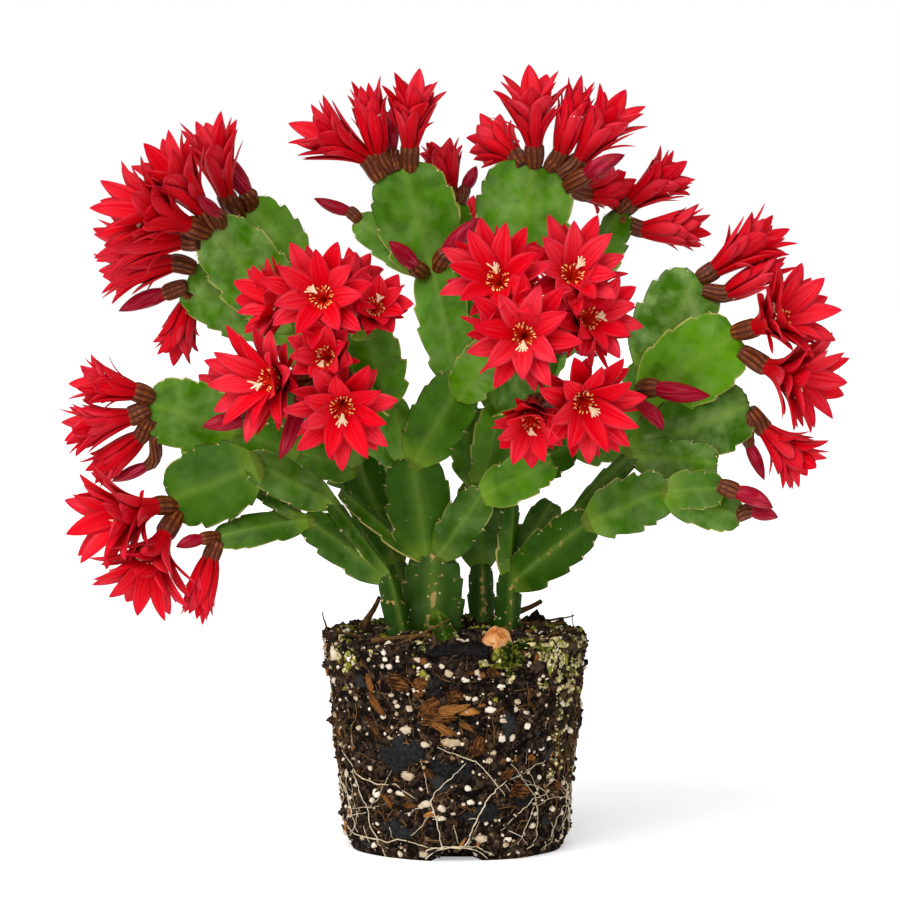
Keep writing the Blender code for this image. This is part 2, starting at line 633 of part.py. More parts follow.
def bodies_of(mesh):
    """The separate closed bodies of a mesh, largest first, without loose scraps."""
    bm = bmesh.new()
    bm.from_mesh(mesh)
    bm.faces.ensure_lookup_table()
    seen, groups = set(), []
    for start in bm.faces:
        if start.index in seen:
            continue
        group, reached = [], [start]
        seen.add(start.index)
        while reached:
            face = reached.pop()
            group.append(face.index)
            for vert in face.verts:
                for near in vert.link_faces:
                    if near.index not in seen:
                        seen.add(near.index)
                        reached.append(near)
        groups.append(set(group))
    bm.free()
    made = []
    for group in sorted(groups, key=len, reverse=True):
        part = bmesh.new()
        part.from_mesh(mesh)
        part.faces.ensure_lookup_table()
        extra = [face for face in part.faces if face.index not in group]
        bmesh.ops.delete(part, geom=extra, context="FACES")
        if part.calc_volume(signed=True) > SCRAP_VOLUME:
            solid = bpy.data.meshes.new("body")
            part.to_mesh(solid)
            made.append(solid)
        part.free()
    return made


def add_solids(name, mesh, materials):
    """Adds each body of a mesh as its own object: name, name_2 and so on."""
    added = []
    for i, solid in enumerate(bodies_of(mesh)):
        added.append(add_object(name if i == 0 else f"{name}_{i + 1}", solid, materials))
    return added


def tree_of(meshes):
    """A search tree over the faces of several meshes."""
    bm = bmesh.new()
    for mesh in meshes:
        bm.from_mesh(mesh)
    made = BVHTree.FromBMesh(bm)
    bm.free()
    return made


def build():
    clear_scene()
    soil = paint("Peat and perlite", "3A2A20", 0.95)
    rock = paint("Sandstone", "C98A5B", 0.8)
    moss = paint("Moss", "6E8A2C", 0.95)
    wood = paint("Weathered bark", "8A5A36", 0.85)
    char = paint("Charred wood", "2A2724", 0.8)
    stem_paints = [paint("Pad", "4E7F2E", 0.45), paint("Tube", "6A4424", 0.6)]
    stem_paints.append(paint("Bud", "A81440", 0.45))
    red = paint("Petal", "D5122A", 0.5)

    obstacles = []
    for name, rows in STEMS.items():
        shapes = [pad(*row) for row in rows]
        pads = tree_of(shapes)
        for foot, end, tip, radius in BUDS.get(name, ()):
            shapes.append(bud(foot, end, tip, radius, pads))
        for (_, carrier), flowers in BLOOMS.items():
            if carrier == name:
                shapes += [tube(*flower[:3], pads) for flower in flowers]
        for thing in add_solids(name, combine(name, shapes, stem_paints), stem_paints):
            obstacles.append(tree_of([thing.data]))

    seed = 0
    for (name, _), rows in BLOOMS.items():
        shapes = []
        for _, end, aim, spread in rows:
            seed += 1
            shapes.append(bloom(end, aim, spread, seed, obstacles))
        for thing in add_solids(name, combine(name, shapes, [red]), [red]):
            obstacles.append(tree_of([thing.data]))

    add_object("stone", lump(*STONE), [rock])
    add_object("moss_clump", lump(*MOSS_CLUMP), [moss])
    add_object("bark_chip", lump(*BARK_CHIP), [wood])
    add_object("charred_stick", stick(*CHARRED_STICK), [char])
    add_object("long_twig", stick(*LONG_TWIG), [wood])
    add_object("back_twig", stick(*BACK_TWIG), [wood])

    sockets = [recess()]
    sockets += [pad(*rows[0], grow=GAP) for rows in STEMS.values()]
    sockets += [lump(*row, grow=GAP) for row in (STONE, MOSS_CLUMP, BARK_CHIP)]
    sockets += [stick(*row, grow=GAP) for row in (CHARRED_STICK, LONG_TWIG, BACK_TWIG)]
    ball = combine("root_ball", [root_ball_body(), *sockets], [soil], "DIFFERENCE")
    add_object("root_ball", bodies_of(ball)[0], [soil])


build()
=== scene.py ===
# %% [markdown]
# # An easter cactus in full flower
# The plant has been lifted out of its pot, so it stands on a bare root ball that kept the
# pot's shape. Flat pads grow one from the tip of another in arching chains. At the ends of
# the chains, short ribbed tubes carry red flowers with rings of pointed petals.
#
# The solids of the plant are loaded first, as a fixed frame. This script then grows a finer
# surface around each of them: pads with crenate edges, curved petals, stamens, and a root ball
# with perlite, bark, moss and roots. Everything is in metres, +Z up, seen from -Y.

# %% Load the frame
import json
import math
import random

import bpy
import bmesh
import numpy as np
from mathutils import Matrix, Vector, noise
from mathutils.bvhtree import BVHTree
from mathutils.kdtree import KDTree

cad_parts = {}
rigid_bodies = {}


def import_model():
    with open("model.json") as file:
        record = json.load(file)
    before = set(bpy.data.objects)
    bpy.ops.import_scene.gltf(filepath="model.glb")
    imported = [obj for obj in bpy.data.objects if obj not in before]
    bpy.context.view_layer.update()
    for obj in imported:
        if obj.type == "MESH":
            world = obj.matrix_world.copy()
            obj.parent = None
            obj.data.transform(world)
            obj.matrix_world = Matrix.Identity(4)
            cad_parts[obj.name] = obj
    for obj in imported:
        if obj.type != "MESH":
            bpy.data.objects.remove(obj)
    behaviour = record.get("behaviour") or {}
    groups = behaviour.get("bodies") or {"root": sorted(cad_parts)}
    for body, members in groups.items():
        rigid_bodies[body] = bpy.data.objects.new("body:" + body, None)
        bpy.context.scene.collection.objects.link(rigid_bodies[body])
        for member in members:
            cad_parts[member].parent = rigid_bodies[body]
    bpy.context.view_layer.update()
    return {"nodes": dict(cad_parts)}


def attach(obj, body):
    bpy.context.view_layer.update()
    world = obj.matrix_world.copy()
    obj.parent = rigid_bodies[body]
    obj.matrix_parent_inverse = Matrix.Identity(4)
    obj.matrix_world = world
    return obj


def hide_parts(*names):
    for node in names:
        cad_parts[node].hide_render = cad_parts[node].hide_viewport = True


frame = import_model()
MM = 0.001
print("solids:", len(frame["nodes"]))

# %% [markdown]
# ## Helpers
# A few small functions are used by every later step. Colours are written as the sRGB hex values
# that a picture editor shows, and Blender's shaders want linear light, so one function converts.
# One function adds a node to any tree, for materials and for Geometry Nodes alike. It hands
# back the node's output, which is what the next node wants.

# %% Helpers for colours and nodes


def linear(hexcode):
    """An sRGB hex colour as linear RGBA."""
    channels = [int(hexcode[i : i + 2], 16) / 255 for i in (0, 2, 4)]
    return (*[c / 12.92 if c <= 0.04045 else ((c + 0.055) / 1.055) ** 2.4 for c in channels], 1.0)


def wire(node, inputs):
    """Gives a node its inputs: each is a value, or another node's output to link."""
    for name, value in inputs.items():
        if isinstance(value, bpy.types.NodeSocket):
            node.id_data.links.new(value, node.inputs[name])
        else:
            node.inputs[name].default_value = value


def add(tree, kind, inputs=None, out=None, **settings):
    """Adds a node with its settings, and hands back its output of that name, or else the first
    one in use. A kind that doesn't say Node is a shader's."""
    made = tree.nodes.new(kind if "Node" in kind else "ShaderNode" + kind)
    for name, value in settings.items():
        setattr(made, name, value)
    wire(made, inputs or {})
    return made.outputs[out] if out else next((each for each in made.outputs if each.enabled), None)


def start_material(name, roughness, sheen, more=None):
    """A material, its tree and its Principled shader. Sheen is the specular level."""
    made = bpy.data.materials.new(name)
    made.use_nodes = True
    shader = made.node_tree.nodes["Principled BSDF"]
    wire(shader, {"Roughness": roughness, "Specular IOR Level": sheen, **(more or {})})
    return made, made.node_tree, shader


def mark(mesh, label, values, kind="FLOAT"):
    """Stores a number or a vector for each point of a mesh."""
    made = mesh.attributes.new(label, kind, "POINT")
    made.data.foreach_set("value" if kind == "FLOAT" else "vector", np.ravel(values))


def in_scene(name, mesh):
    """An object at the origin with that mesh."""
    made = bpy.data.objects.new(name, mesh)
    bpy.context.scene.collection.objects.link(made)
    return made


def mesh_object(name, points, faces, material, smooth=True, **attributes):
    """A mesh object, with a number for each point under each attribute's name."""
    mesh = bpy.data.meshes.new(name)
    mesh.from_pydata([tuple(p) for p in points], [], faces)
    for label, values in attributes.items():
        mark(mesh, label, values)
    mesh.materials.append(material)
    if smooth:
        mesh.shade_smooth()
    return in_scene(name, mesh)


def ring_faces(first, levels, count):
    """The faces between rings of count points that follow each other from point first on."""
    for low in range(first, first + (levels - 1) * count, count):
        for i in range(count):
            j = (i + 1) % count
            yield (low + i, low + j, low + count + j, low + count + i)


def face_outwards(mesh):
    """Turns closed shells that came out inside out."""
    bm = bmesh.new()
    bm.from_mesh(mesh)
    bmesh.ops.recalc_face_normals(bm, faces=bm.faces)
    bm.to_mesh(mesh)
    bm.free()


UPWARD = Vector((0.0, 0.3, 1.0))


def place(spot):
    return Vector(spot) * MM


def frame_along(axis, facing):
    """Unit vectors (across, along, out) of a flat piece that runs along axis and faces facing."""
    along = axis.normalized()
    out = facing - along * facing.dot(along)
    if out.length < 0.05:
        out = along.orthogonal()
    out.normalize()
    return along.cross(out), along, out


def turned(across, out, angle):
    """The way from across toward out by an angle."""
    return across * math.cos(angle) + out * math.sin(angle)


def through(table, share):
    """A value read from a table of (place, value) rows."""
    return float(np.interp(share, [row[0] for row in table], [row[1] for row in table]))


print("helpers ready")

# %% [markdown]
# ## Where everything grows
# These tables lay out the plant in whole millimetres, the same ones that its solids were made
# from. A pad has a neck and a tip, a width, a thickness and a direction that it faces. A flower
# has the foot and the end of its tube, the middle of its petal tips and how far they spread.

# %% Layout in millimetres
# Pads by stem: neck, tip, width, thickness, and the direction that it faces
STEMS = {
    "stem_centre": (
        (-10, -14, 85, -10, -14, 130, 28, 9, 0, -1, 0),
        (-13, -14, 128, -19, -22, 171, 30, 6, 0.1, -1, 0),
        (-7, -16, 128, 12, -30, 157, 20, 5, -0.2, -1, 0.1),
        (11, -29, 155, 41, -40, 171, 21, 5, 0, -1, 0.2),
        (-16, -15, 127, -50, -15, 156, 12, 5, 0.6, -0.8, 0.8),
        (-18, -22, 169, 3, -16, 205, 27, 5, 0, -1, 0.1),
        (-20, -21, 168, -29, -16, 197, 17, 5, 0.3, -1, 0), (1, -16, 201, -10, 2, 252, 25, 5, 0, -1, 0),
        (-10, 2, 249, -23, 6, 296, 38, 5, 0, -1, 0),
        (-12, 3, 250, -43, 14, 273, 18, 5, -0.6, -0.5, 0.6),
        (-9, 4, 249, 0, 24, 281, 22, 5, 0.2, -1, 0),
        (-29, -17, 194, -39, -44, 230, 27, 5, -0.2, -1, 0.2),
        (-29, -18, 193, -47, -54, 210, 22, 5, -0.3, -1, 0.6),
        (-37, -42, 226, -52, -51, 237, 15, 5, -0.2, -1, 0.6),
        (-46, -53, 209, -62, -55, 206, 15, 5, 0, -1, 0.4),
        (-60, -55, 206, -84, -54, 191, 15, 5, 0, -1, 0.4),
        (1, -17, 196, 18, -50, 222, 22, 5, 0.2, -1, 0.3),
        (17, -48, 220, 19, -52, 239, 15, 5, 0, -1, 0.2),
        (-8, -18, 104, -4, -47, 93.5, 10.5, 5, 0, -0.6, 1),
    ),
    "stem_left": (
        (-22, -26, 85, -30, -26, 122, 12, 10, 0.5, -1, 0),
        (-30, -26, 119, -65, -34, 146, 19, 5, 0.3, -1, 0.3),
        (-29, -26, 120, -55, -28, 154, 12, 5, 0.6, -0.8, 0.8),
        (-53, -28, 152, -88, -40, 171, 20, 5, 0.2, -1, 0.4),
        (-63, -34, 145, -102, -38, 138, 17, 5, 0, -1, 0.6),
        (-66, -34, 145, -88, -27, 160, 12, 4, 0.3, -0.6, 0.9),
        (-85, -40, 169, -122, -36, 154, 36, 5, 0, -1, 0.1),
    ),
    "stem_upper_left": (
        (-16, 12, 85, -27, 10, 124, 14, 9, 0.3, -1, 0), (-26, 10, 121, -43, 6, 168, 24, 5, 0.2, -1, 0),
        (-42, 6, 166, -58, 2, 200, 24, 5, 0.7, -0.8, 0),
        (-57, 2, 197, -71, -2, 230, 26, 5, -0.6, -0.8, 0),
        (-70, -2, 227, -105, -12, 270, 34, 5, -0.1, -1, 0.1),
        (-69, -1, 225, -117, 4, 246, 31, 5, 0, -1, 0),
        (-69, -1, 227, -68, 10, 255, 22, 5, 0.8, -0.6, 0),
        (-68, 10, 253, -90, 14, 279, 25, 5, 0, -1, 0.2), (-43, 6, 164, -70, 0, 172, 18, 5, 0, -1, 0.3),
        (-68, 0, 171, -97, -6, 182, 20, 5, 0, -1, 0.2), (-95, -6, 181, -133, -8, 194, 33, 5, 0, -1, 0),
    ),
    "stem_right": (
        (22, -8, 85, 23, -10, 122, 13, 10, 0.4, -1, 0),
        (24, -10, 115, 58, -30, 145, 24, 5, -0.2, -1, 0.2),
        (57, -30, 144, 91, -34, 159, 26, 5, 0, -1, 0.1),
        (90, -34, 158, 114, -38, 159, 18, 5, 0, -1, 0.1),
        (89, -34, 157, 122, -30, 146, 20, 5, 0, -1, 0.2),
        (23, -10, 120, 61, -16, 155, 13, 5, -0.5, -0.6, 0.8),
        (50, -15, 145, 78, -14, 173, 15, 5, -0.5, -0.6, 0.8),
        (77, -14, 171, 82, -5, 210, 24, 5, 0, -1, 0), (82, -5, 207, 106, 12, 248, 36, 5, 0.1, -1, 0),
        (81, -9, 196, 121, -12, 224, 37, 5, 0, -1, 0.1),
        (76, -14, 172, 127, -8, 193, 34, 5, 0, -1, 0.1),
        (76, -15, 171, 112, -28, 169, 20, 5, 0, -1, 0.3),
        (22, -10, 119, 24, -16, 151, 14, 5, 0.7, -0.7, 0),
    ),
    "stem_upper_right": (
        (11, 12, 85, 11, 14, 123, 13, 9, 0.2, -1, 0), (11, 14, 120, 10, 8, 160, 24, 5, 0.2, -1, 0),
        (10, 8, 158, 18, 2, 193, 24, 5, 0.7, -0.7, 0), (17, 2, 190, 22, 2, 225, 26, 5, -0.6, -0.8, 0),
        (22, 2, 222, 25, 6, 256, 26, 5, 0.5, -0.8, 0), (24, 6, 254, 34, 12, 297, 43, 5, 0, -1, 0),
        (18, 2, 190, 44, 14, 216, 24, 5, -0.5, -0.8, 0.3),
        (43, 14, 213, 63, 28, 248, 24, 5, 0.7, -0.7, 0),
        (63, 28, 246, 72, 36, 276, 22, 5, -0.7, -0.7, 0),
        (18, 1, 190, 42, -47, 218, 21, 5, 0.2, -1, 0.5),
        (41, -45, 216, 47, -48, 240, 15, 5, 0, -1, 0.2),
        (18, 2, 188, 44, -50, 196, 20, 5, 0.2, -0.8, 0.8),
    ),
    "stem_back": (
        (-4, 28, 85, -6, 31, 124, 17, 9, 0, 1, 0), (-7, 31, 121, -30, 44, 156, 26, 5, -0.7, 0.7, -0.3),
        (-30, 44, 154, -48, 58, 190, 28, 5, 0.5, 0.8, -0.2),
        (-48, 58, 188, -58, 68, 226, 32, 5, -0.6, 0.8, 0),
        (-30, 44, 153, -62, 52, 170, 24, 5, 0, 1, -0.2),
        (-61, 52, 169, -92, 56, 184, 28, 5, 0, 1, -0.1),
        (-5, 31, 121, 16, 44, 158, 26, 5, 0.8, 0.6, -0.3),
        (15, 44, 156, 30, 56, 192, 28, 5, -0.5, 0.8, -0.2),
        (30, 56, 190, 38, 66, 228, 33, 5, 0.6, 0.8, 0), (16, 44, 156, 52, 54, 172, 24, 5, 0, 1, -0.2),
        (51, 54, 171, 84, 58, 184, 30, 5, 0, 1, 0), (29, 55, 189, 10, 50, 222, 24, 5, 0.7, 0.7, 0),
        (10, 50, 220, 0, 46, 256, 28, 5, -0.6, 0.8, 0),
    ),
}

# Open flowers by bunch and the stem that carries it:
# foot of the tube, end of the tube, middle of the petal tips, and spread of the tips
BLOOMS = {
    ("blooms_upper_left", "stem_upper_left"): (
        (-97, 6, 278, -100, 4, 284, -107, -6, 314, 14),
        (-106, -12, 272, -109, -14, 277, -127, -30, 302, 17),
        (-109, -14, 269, -115, -18, 271, -144, -36, 283, 20),
        (-112, -8, 264, -118, -6, 264, -153, -8, 262, 15),
        (-117, 2, 253, -123, 4, 254, -154, 8, 249, 13),
        (-116, 5, 241, -117, 10, 236, -124, 18, 214, 11),
    ),
    ("blooms_mid_left", "stem_upper_left"): (
        (-134, -8, 197, -139, -10, 199, -162, -16, 205, 12),
        (-134, -8, 191, -141, -8, 188, -169, -12, 182, 13),
        (-133, -6, 186, -138, -4, 178, -158, 0, 163, 9),
    ),
    ("blooms_lower_left", "stem_left"): (
        (-122, -36, 151, -128, -42, 152, -154, -62, 146, 22),
        (-120, -36, 147, -124, -42, 140, -136, -60, 117, 23),
        (-103, -38, 135, -105, -38, 129, -112, -40, 104, 8),
    ),
    ("blooms_front_left", "stem_centre"): (
        (-52, -53, 237, -54, -60, 239, -58, -88, 245, 24),
        (-54, -50, 237, -64, -50, 237, -86, -62, 242, 18),
        (-38, -46, 230, -36, -54, 234, -32, -78, 241, 14),
        (-48, -56, 212, -52, -66, 215, -57, -90, 220, 15),
        (-62, -56, 207, -69, -60, 207, -88, -82, 207, 25),
        (-46, -57, 207, -48, -66, 200, -47, -94, 193, 24),
    ),
    ("blooms_top_left", "stem_centre"): (
        (-34, 6, 292, -39, 6, 300, -65, -4, 315, 15), (-29, 6, 295, -34, 4, 303, -39, -4, 330, 9),
        (-20, 6, 295, -20, 4, 305, -18, -6, 332, 14),
    ),
    ("blooms_top_back", "stem_centre"): (
        (-1, 24, 280, -3, 26, 287, -7, 26, 306, 11),
    ),
    ("blooms_top_right", "stem_upper_right"): (
        (34, 12, 297, 34, 10, 305, 32, 2, 333, 17), (29, 14, 296, 26, 20, 300, 14, 38, 309, 13),
        (41, 12, 297, 46, 10, 303, 54, 2, 331, 8), (46, 12, 293, 54, 12, 299, 71, 4, 324, 16),
        (49, 14, 286, 58, 24, 284, 72, 44, 286, 11),
    ),
    ("blooms_right_top", "stem_upper_right"): (
        (73, 36, 276, 78, 36, 280, 99, 28, 296, 13), (75, 34, 271, 83, 32, 268, 108, 24, 269, 11),
    ),
    ("blooms_right", "stem_right"): (
        (107, 12, 248, 113, 12, 251, 139, 4, 270, 14), (109, 10, 242, 119, 10, 241, 143, 4, 255, 7),
        (122, -12, 225, 129, -16, 227, 149, -36, 237, 22),
        (124, -10, 216, 134, -12, 210, 157, -28, 202, 23),
        (128, -8, 190, 134, -6, 182, 153, -10, 165, 15),
    ),
    ("blooms_front_right", "stem_upper_right"): (
        (19, -52, 240, 20, -58, 244, 15, -86, 254, 24), (47, -48, 241, 47, -54, 246, 50, -80, 257, 23),
        (22, -52, 222, 29, -65, 225, 27, -96, 228, 25), (44, -49, 219, 50, -58, 230, 61, -80, 236, 21),
        (45, -52, 197, 50, -62, 202, 57, -90, 195, 25), (41, -52, 196, 32, -62, 196, 30, -84, 184, 16),
    ),
    ("blooms_back_left", "stem_back"): (
        (-60, 70, 227, -63, 76, 230, -74, 98, 236, 19), (-57, 71, 225, -55, 79, 221, -50, 104, 212, 19),
        (-56, 70, 229, -52, 75, 235, -44, 92, 250, 14),
    ),
    ("blooms_back_low_left", "stem_back"): (
        (-94, 58, 186, -98, 64, 188, -108, 88, 194, 15), (-93, 58, 182, -93, 65, 178, -92, 90, 170, 15),
    ),
    ("blooms_back_right", "stem_back"): (
        (40, 68, 229, 44, 75, 232, 58, 96, 240, 18), (38, 69, 227, 36, 78, 224, 34, 104, 218, 20),
        (36, 68, 230, 32, 73, 236, 22, 90, 250, 14),
    ),
    ("blooms_back_low_right", "stem_back"): (
        (86, 60, 186, 90, 66, 189, 101, 88, 196, 15), (85, 60, 182, 86, 68, 179, 88, 92, 172, 15),
    ),
    ("blooms_back_top", "stem_back"): (
        (1, 48, 257, 2, 54, 261, 8, 76, 272, 14), (-2, 48, 256, -6, 54, 259, -18, 76, 262, 13),
    ),
}

# Buds by stem: foot of the tube, end of the tube, point, and radius
BUDS = {
    "stem_centre": (
        (-26, 7, 295, -28, 11, 303, -28, 16, 322, 3.5), (-43, 14, 273, -46, 15, 276, -62, 18, 282, 3),
        (-14, 0, 250, -18, -6, 253, -29, -13, 264, 4), (-8, 2, 252, -5, 0, 258, 10, -6, 274, 4),
        (2, 25, 280, 4, 28, 286, 9, 32, 296, 3), (-83, -54, 191, -90, -56, 189, -107, -60, 187, 4),
        (-59, -57, 204, -65, -65, 198, -74, -76, 174, 4),
    ),
    "stem_left": (
        (-103, -38, 138, -108, -43, 138, -119, -48, 135, 3),
    ),
    "stem_upper_left": (
        (-90, 14, 278, -91, 12, 284, -102, 8, 303, 4.5), (-118, 4, 244, -126, 6, 241, -147, 10, 233, 4),
        (-101, -12, 271, -102, -19, 276, -110, -33, 284, 3),
        (-131, -6, 185, -134, 1, 166, -150, 4, 159, 3),
    ),
    "stem_right": (
        (113, -38, 160, 119, -39, 158, 135, -41, 151, 4),
        (121, -30, 147, 126, -30, 149, 138, -30, 146, 3.5),
        (80, -10, 200, 86, -19, 201, 109, -26, 198, 4.5),
        (79, -11, 196, 79, -24, 194, 88, -38, 184, 3.5), (127, -8, 186, 127, -4, 176, 134, -2, 160, 3),
    ),
    "stem_upper_right": (
        (49, 10, 288, 56, 5, 292, 73, -2, 301, 4),
    ),
    "stem_back": (
        (-90, 57, 182, -86, 62, 177, -76, 72, 164, 4), (83, 59, 181, 78, 64, 177, 68, 74, 166, 4),
        (42, 68, 225, 50, 72, 221, 64, 80, 210, 4), (-62, 69, 224, -70, 73, 220, -84, 80, 210, 4),
    ),
}

# Each row is cut into its places and its single numbers
for stem, rows in STEMS.items():
    STEMS[stem] = [(row[:3], row[3:6], row[6], row[7], row[8:]) for row in rows]
for table in (BLOOMS, BUDS):
    for bunch, rows in table.items():
        table[bunch] = [(row[:3], row[3:6], row[6:9], row[9]) for row in rows]

# Loose things on the soil: (middle, half sizes, turn about the vertical in degrees, unevenness)
STONE = ((17.4, -48.5, 95.0), (6.2, 5.6, 6.4), 20, 0.2)
MOSS_CLUMP = ((21, -52, 89), (6, 4, 4.5), 0, 0.6)
BARK_CHIP = ((-6, -52, 62.5), (10.5, 2.6, 3.8), 0, 0.4)
# Sticks: (one end, other end, radius)
CHARRED_STICK = ((-13, -55.6, 92.0), (13.5, -55.6, 91.4), 2.7)
LONG_TWIG = ((-36, -43, 94.2), (-11, -34, 95.9), 1.3)
BACK_TWIG = ((26, 6, 96), (48, 20, 94.4), 1.6)
for label, table in {"pads": STEMS, "flowers": BLOOMS, "buds": BUDS}.items():
    print(label + ":", sum(map(len, table.values())))

# %% [markdown]
# ## The skin of the pads
# A pad is a flattened stem with a waxy skin: thin, smooth and a little glossy. Young pads let
# light through and look yellow-green, mature ones are deeper green with a grey-green bloom that
# is partly a painted sheen, and the oldest ones near the soil are dark with pale flecks and corky
# scars. A thin tan line runs along the margin and the midrib is paler. The mesh carries tone,
# age, margin, rib and foot as numbers at its points. The material reads them and lays one colour
# over another, each by a share.

# %% Waxy pad skin
PAD_YOUNG, PAD_MATURE, PAD_OLD = "589000", "366400", "142F00"
# The grey-green bloom colour is partly a painted sheen on the waxy skin
PAD_BLOOM_AND_SHEEN, PAD_RIB, PAD_FOOT = "80A056", "7C9C3C", "86A432"
PAD_FLECK, PAD_SCAR = "B9C290", "B09058"
PAD_SEAM, PAD_MARGIN = "3A2A12", "CDBB68"


def lay_colours(tree, shader, first, layers, height, strength, distance, **under):
    """Colours a finish: over the first colour it lays others, each by its own share, and it makes
    the height of a texture a bump that is so strong and so deep, over another bump if given."""
    colour = linear(first)
    for share, over in layers:
        over = linear(over) if isinstance(over, str) else over
        colour = add(tree, "Mix", {0: share, 6: colour, 7: over}, data_type="RGBA")
    bump = {"Height": height, "Strength": strength, "Distance": distance, **under}
    wire(shader, {"Base Color": colour, "Normal": add(tree, "Bump", bump)})


def warped(tree, where, scale, reach):
    """Coordinates that are pushed about by a noise, so that a texture loses its straight lines."""
    bend = add(tree, "TexNoise", {"Vector": where, "Scale": scale, "Detail": 3.0}, "Color")
    push = {0: bend, 1: (reach, reach, reach), 2: where}
    return add(tree, "VectorMath", push, operation="MULTIPLY_ADD")


def pad_skin():
    made, tree, shader = start_material("Waxy cactus skin", 0.4, 0.07)
    where = add(tree, "TexCoord", out="Object")
    names = ("tone", "age", "margin", "rib", "foot")
    numbers = [add(tree, "Attribute", out="Fac", attribute_name=name) for name in names]
    tone, age, margin, rib, foot = numbers
    # Clouds about 20 mm wide for the green, and 8 mm wide for the grey-green bloom and painted sheen on it
    clouds = add(tree, "TexNoise", {"Vector": where, "Scale": 45.0, "Detail": 3.0})
    patches = add(tree, "TexNoise", {"Vector": where, "Scale": 120.0, "Detail": 4.0})
    green = add(tree, "Math", {0: tone, 1: clouds}, operation="ADD")
    green = add(tree, "MapRange", {"Value": green, "From Min": 0.6, "From Max": 1.45})
    # Some pads have much of the bloom and painted sheen and some hardly any: digits of the tone choose how
    # much
    bloom_and_sheen_amount = add(tree, "Math", {0: tone, 1: 7.3}, operation="MULTIPLY")
    bloom_and_sheen_amount = add(tree, "Math", {0: bloom_and_sheen_amount}, operation="FRACT")
    bloom_and_sheen_amount = add(tree, "MapRange", {"Value": bloom_and_sheen_amount, "To Min": 0.08})
    bloom_and_sheen = add(tree, "MapRange", {"Value": patches, "From Min": 0.38, "From Max": 0.7})
    bloom_and_sheen = add(tree, "Math", {0: bloom_and_sheen, 1: bloom_and_sheen_amount}, operation="MULTIPLY")
    # Darker brush strokes some 10 mm wide, as if the skin were unevenly thick
    bent_place = warped(tree, where, 90.0, 0.02)
    strokes = add(tree, "TexNoise", {"Vector": bent_place, "Scale": 85.0, "Detail": 5.0})
    shade = {"Value": strokes, "From Min": 0.42, "From Max": 0.72, "To Max": 0.54}
    shade = add(tree, "MapRange", shade)
    old = add(tree, "Math", {0: age, 1: 0.8}, operation="MULTIPLY")
    pale = add(tree, "Math", {0: rib, 1: 0.3}, operation="MULTIPLY")
    # Yellow-green within some 8 mm of the pad's foot, and a brown seam where it grew out
    fresh = add(tree, "MapRange", {"Value": foot, "From Min": 9.0, "From Max": 1.0, "To Max": 0.4})
    seam = add(tree, "MapRange", {"Value": foot, "From Min": 1.1, "From Max": 0.4, "To Max": 0.42})
    # Flecks up to a millimetre wide, larger with age
    dots = add(tree, "TexVoronoi", {"Vector": where, "Scale": 330.0})
    size = add(tree, "MapRange", {"Value": age, "From Min": 0.3, "To Max": 0.15})
    fleck = add(tree, "Math", {0: dots, 1: size}, operation="LESS_THAN")
    rare = add(tree, "Math", {0: patches, 1: 0.56}, operation="GREATER_THAN")
    fleck = add(tree, "Math", {0: fleck, 1: rare}, operation="MULTIPLY")
    # Corky scars on the old pads only
    cork = add(tree, "TexNoise", {"Vector": where, "Scale": 260.0, "Detail": 5.0})
    cork = add(tree, "Math", {0: rib, 1: 0.14, 2: cork}, operation="MULTIPLY_ADD")
    cork = add(tree, "MapRange", {"Value": cork, "From Min": 0.66, "From Max": 0.72})
    worn = add(tree, "MapRange", {"Value": age, "From Min": 0.72, "To Max": 0.9})
    cork = add(tree, "Math", {0: cork, 1: worn}, operation="MULTIPLY")
    # The line along the margin comes and goes, tan in some places and brown in others
    line = {"Value": patches, "From Min": 0.3, "From Max": 0.6, "To Min": 0.25}
    line = add(tree, "MapRange", line)
    line = add(tree, "Math", {0: line, 1: margin}, operation="MULTIPLY")
    aged = add(tree, "Math", {0: tone, 1: 0.3, 2: clouds}, operation="MULTIPLY_ADD")
    aged = add(tree, "MapRange", {"Value": aged, "From Min": 0.56, "From Max": 0.6})
    rim = {0: aged, 6: linear(PAD_SEAM), 7: linear(PAD_MARGIN)}
    rim = add(tree, "Mix", rim, data_type="RGBA")
    layers = [(green, PAD_YOUNG), (bloom_and_sheen, PAD_BLOOM_AND_SHEEN), (shade, PAD_OLD), (old, PAD_OLD), (pale, PAD_RIB)]
    layers += [(fresh, PAD_FOOT), (seam, PAD_SEAM), (fleck, PAD_FLECK), (cork, PAD_SCAR), (line, rim)]
    # Fine wrinkles about 1.4 mm apart, over slow swells
    swell = add(tree, "Bump", {"Height": clouds, "Strength": 0.6, "Distance": 0.004})
    pores = add(tree, "TexNoise", {"Vector": where, "Scale": 700.0, "Detail": 3.0})
    lay_colours(tree, shader, PAD_MATURE, layers, pores, 0.18, 0.0004, Normal=swell)
    gloss = add(tree, "MapRange", {"Value": patches, "To Min": 0.3, "To Max": 0.52})
    wire(shader, {"Roughness": gloss})
    return made


PAD_SKIN = pad_skin()
print(PAD_SKIN.name, "has", len(PAD_SKIN.node_tree.nodes), "nodes")

# %% [markdown]
# ## Petals, tubes and buds
# A petal of this cactus is thin and satiny, scarlet with a darker throat that is partly painted
# shade, and lighter where it turns to the light, which its colour paints as a highlight along the
# edges and veins. Fine veins run along it. Its mesh comes from a sweep, which leaves two
# numbers at each point: how far along the petal, and how far across. The veins are a noise that
# is stretched by reading those two. The tubes are brown with pale ridges that carry a painted
# highlight, with painted shade in the gaps between their plates, and the buds crimson with a
# painted shine and painted shade in their seams.

# %% Satin petals
# The throat colour is the petal's own deep crimson, deepened by painted shade in the funnel
PETAL_CRIMSON_THROAT_AND_SHADE, PETAL_BODY = "B4000A", "D40016"
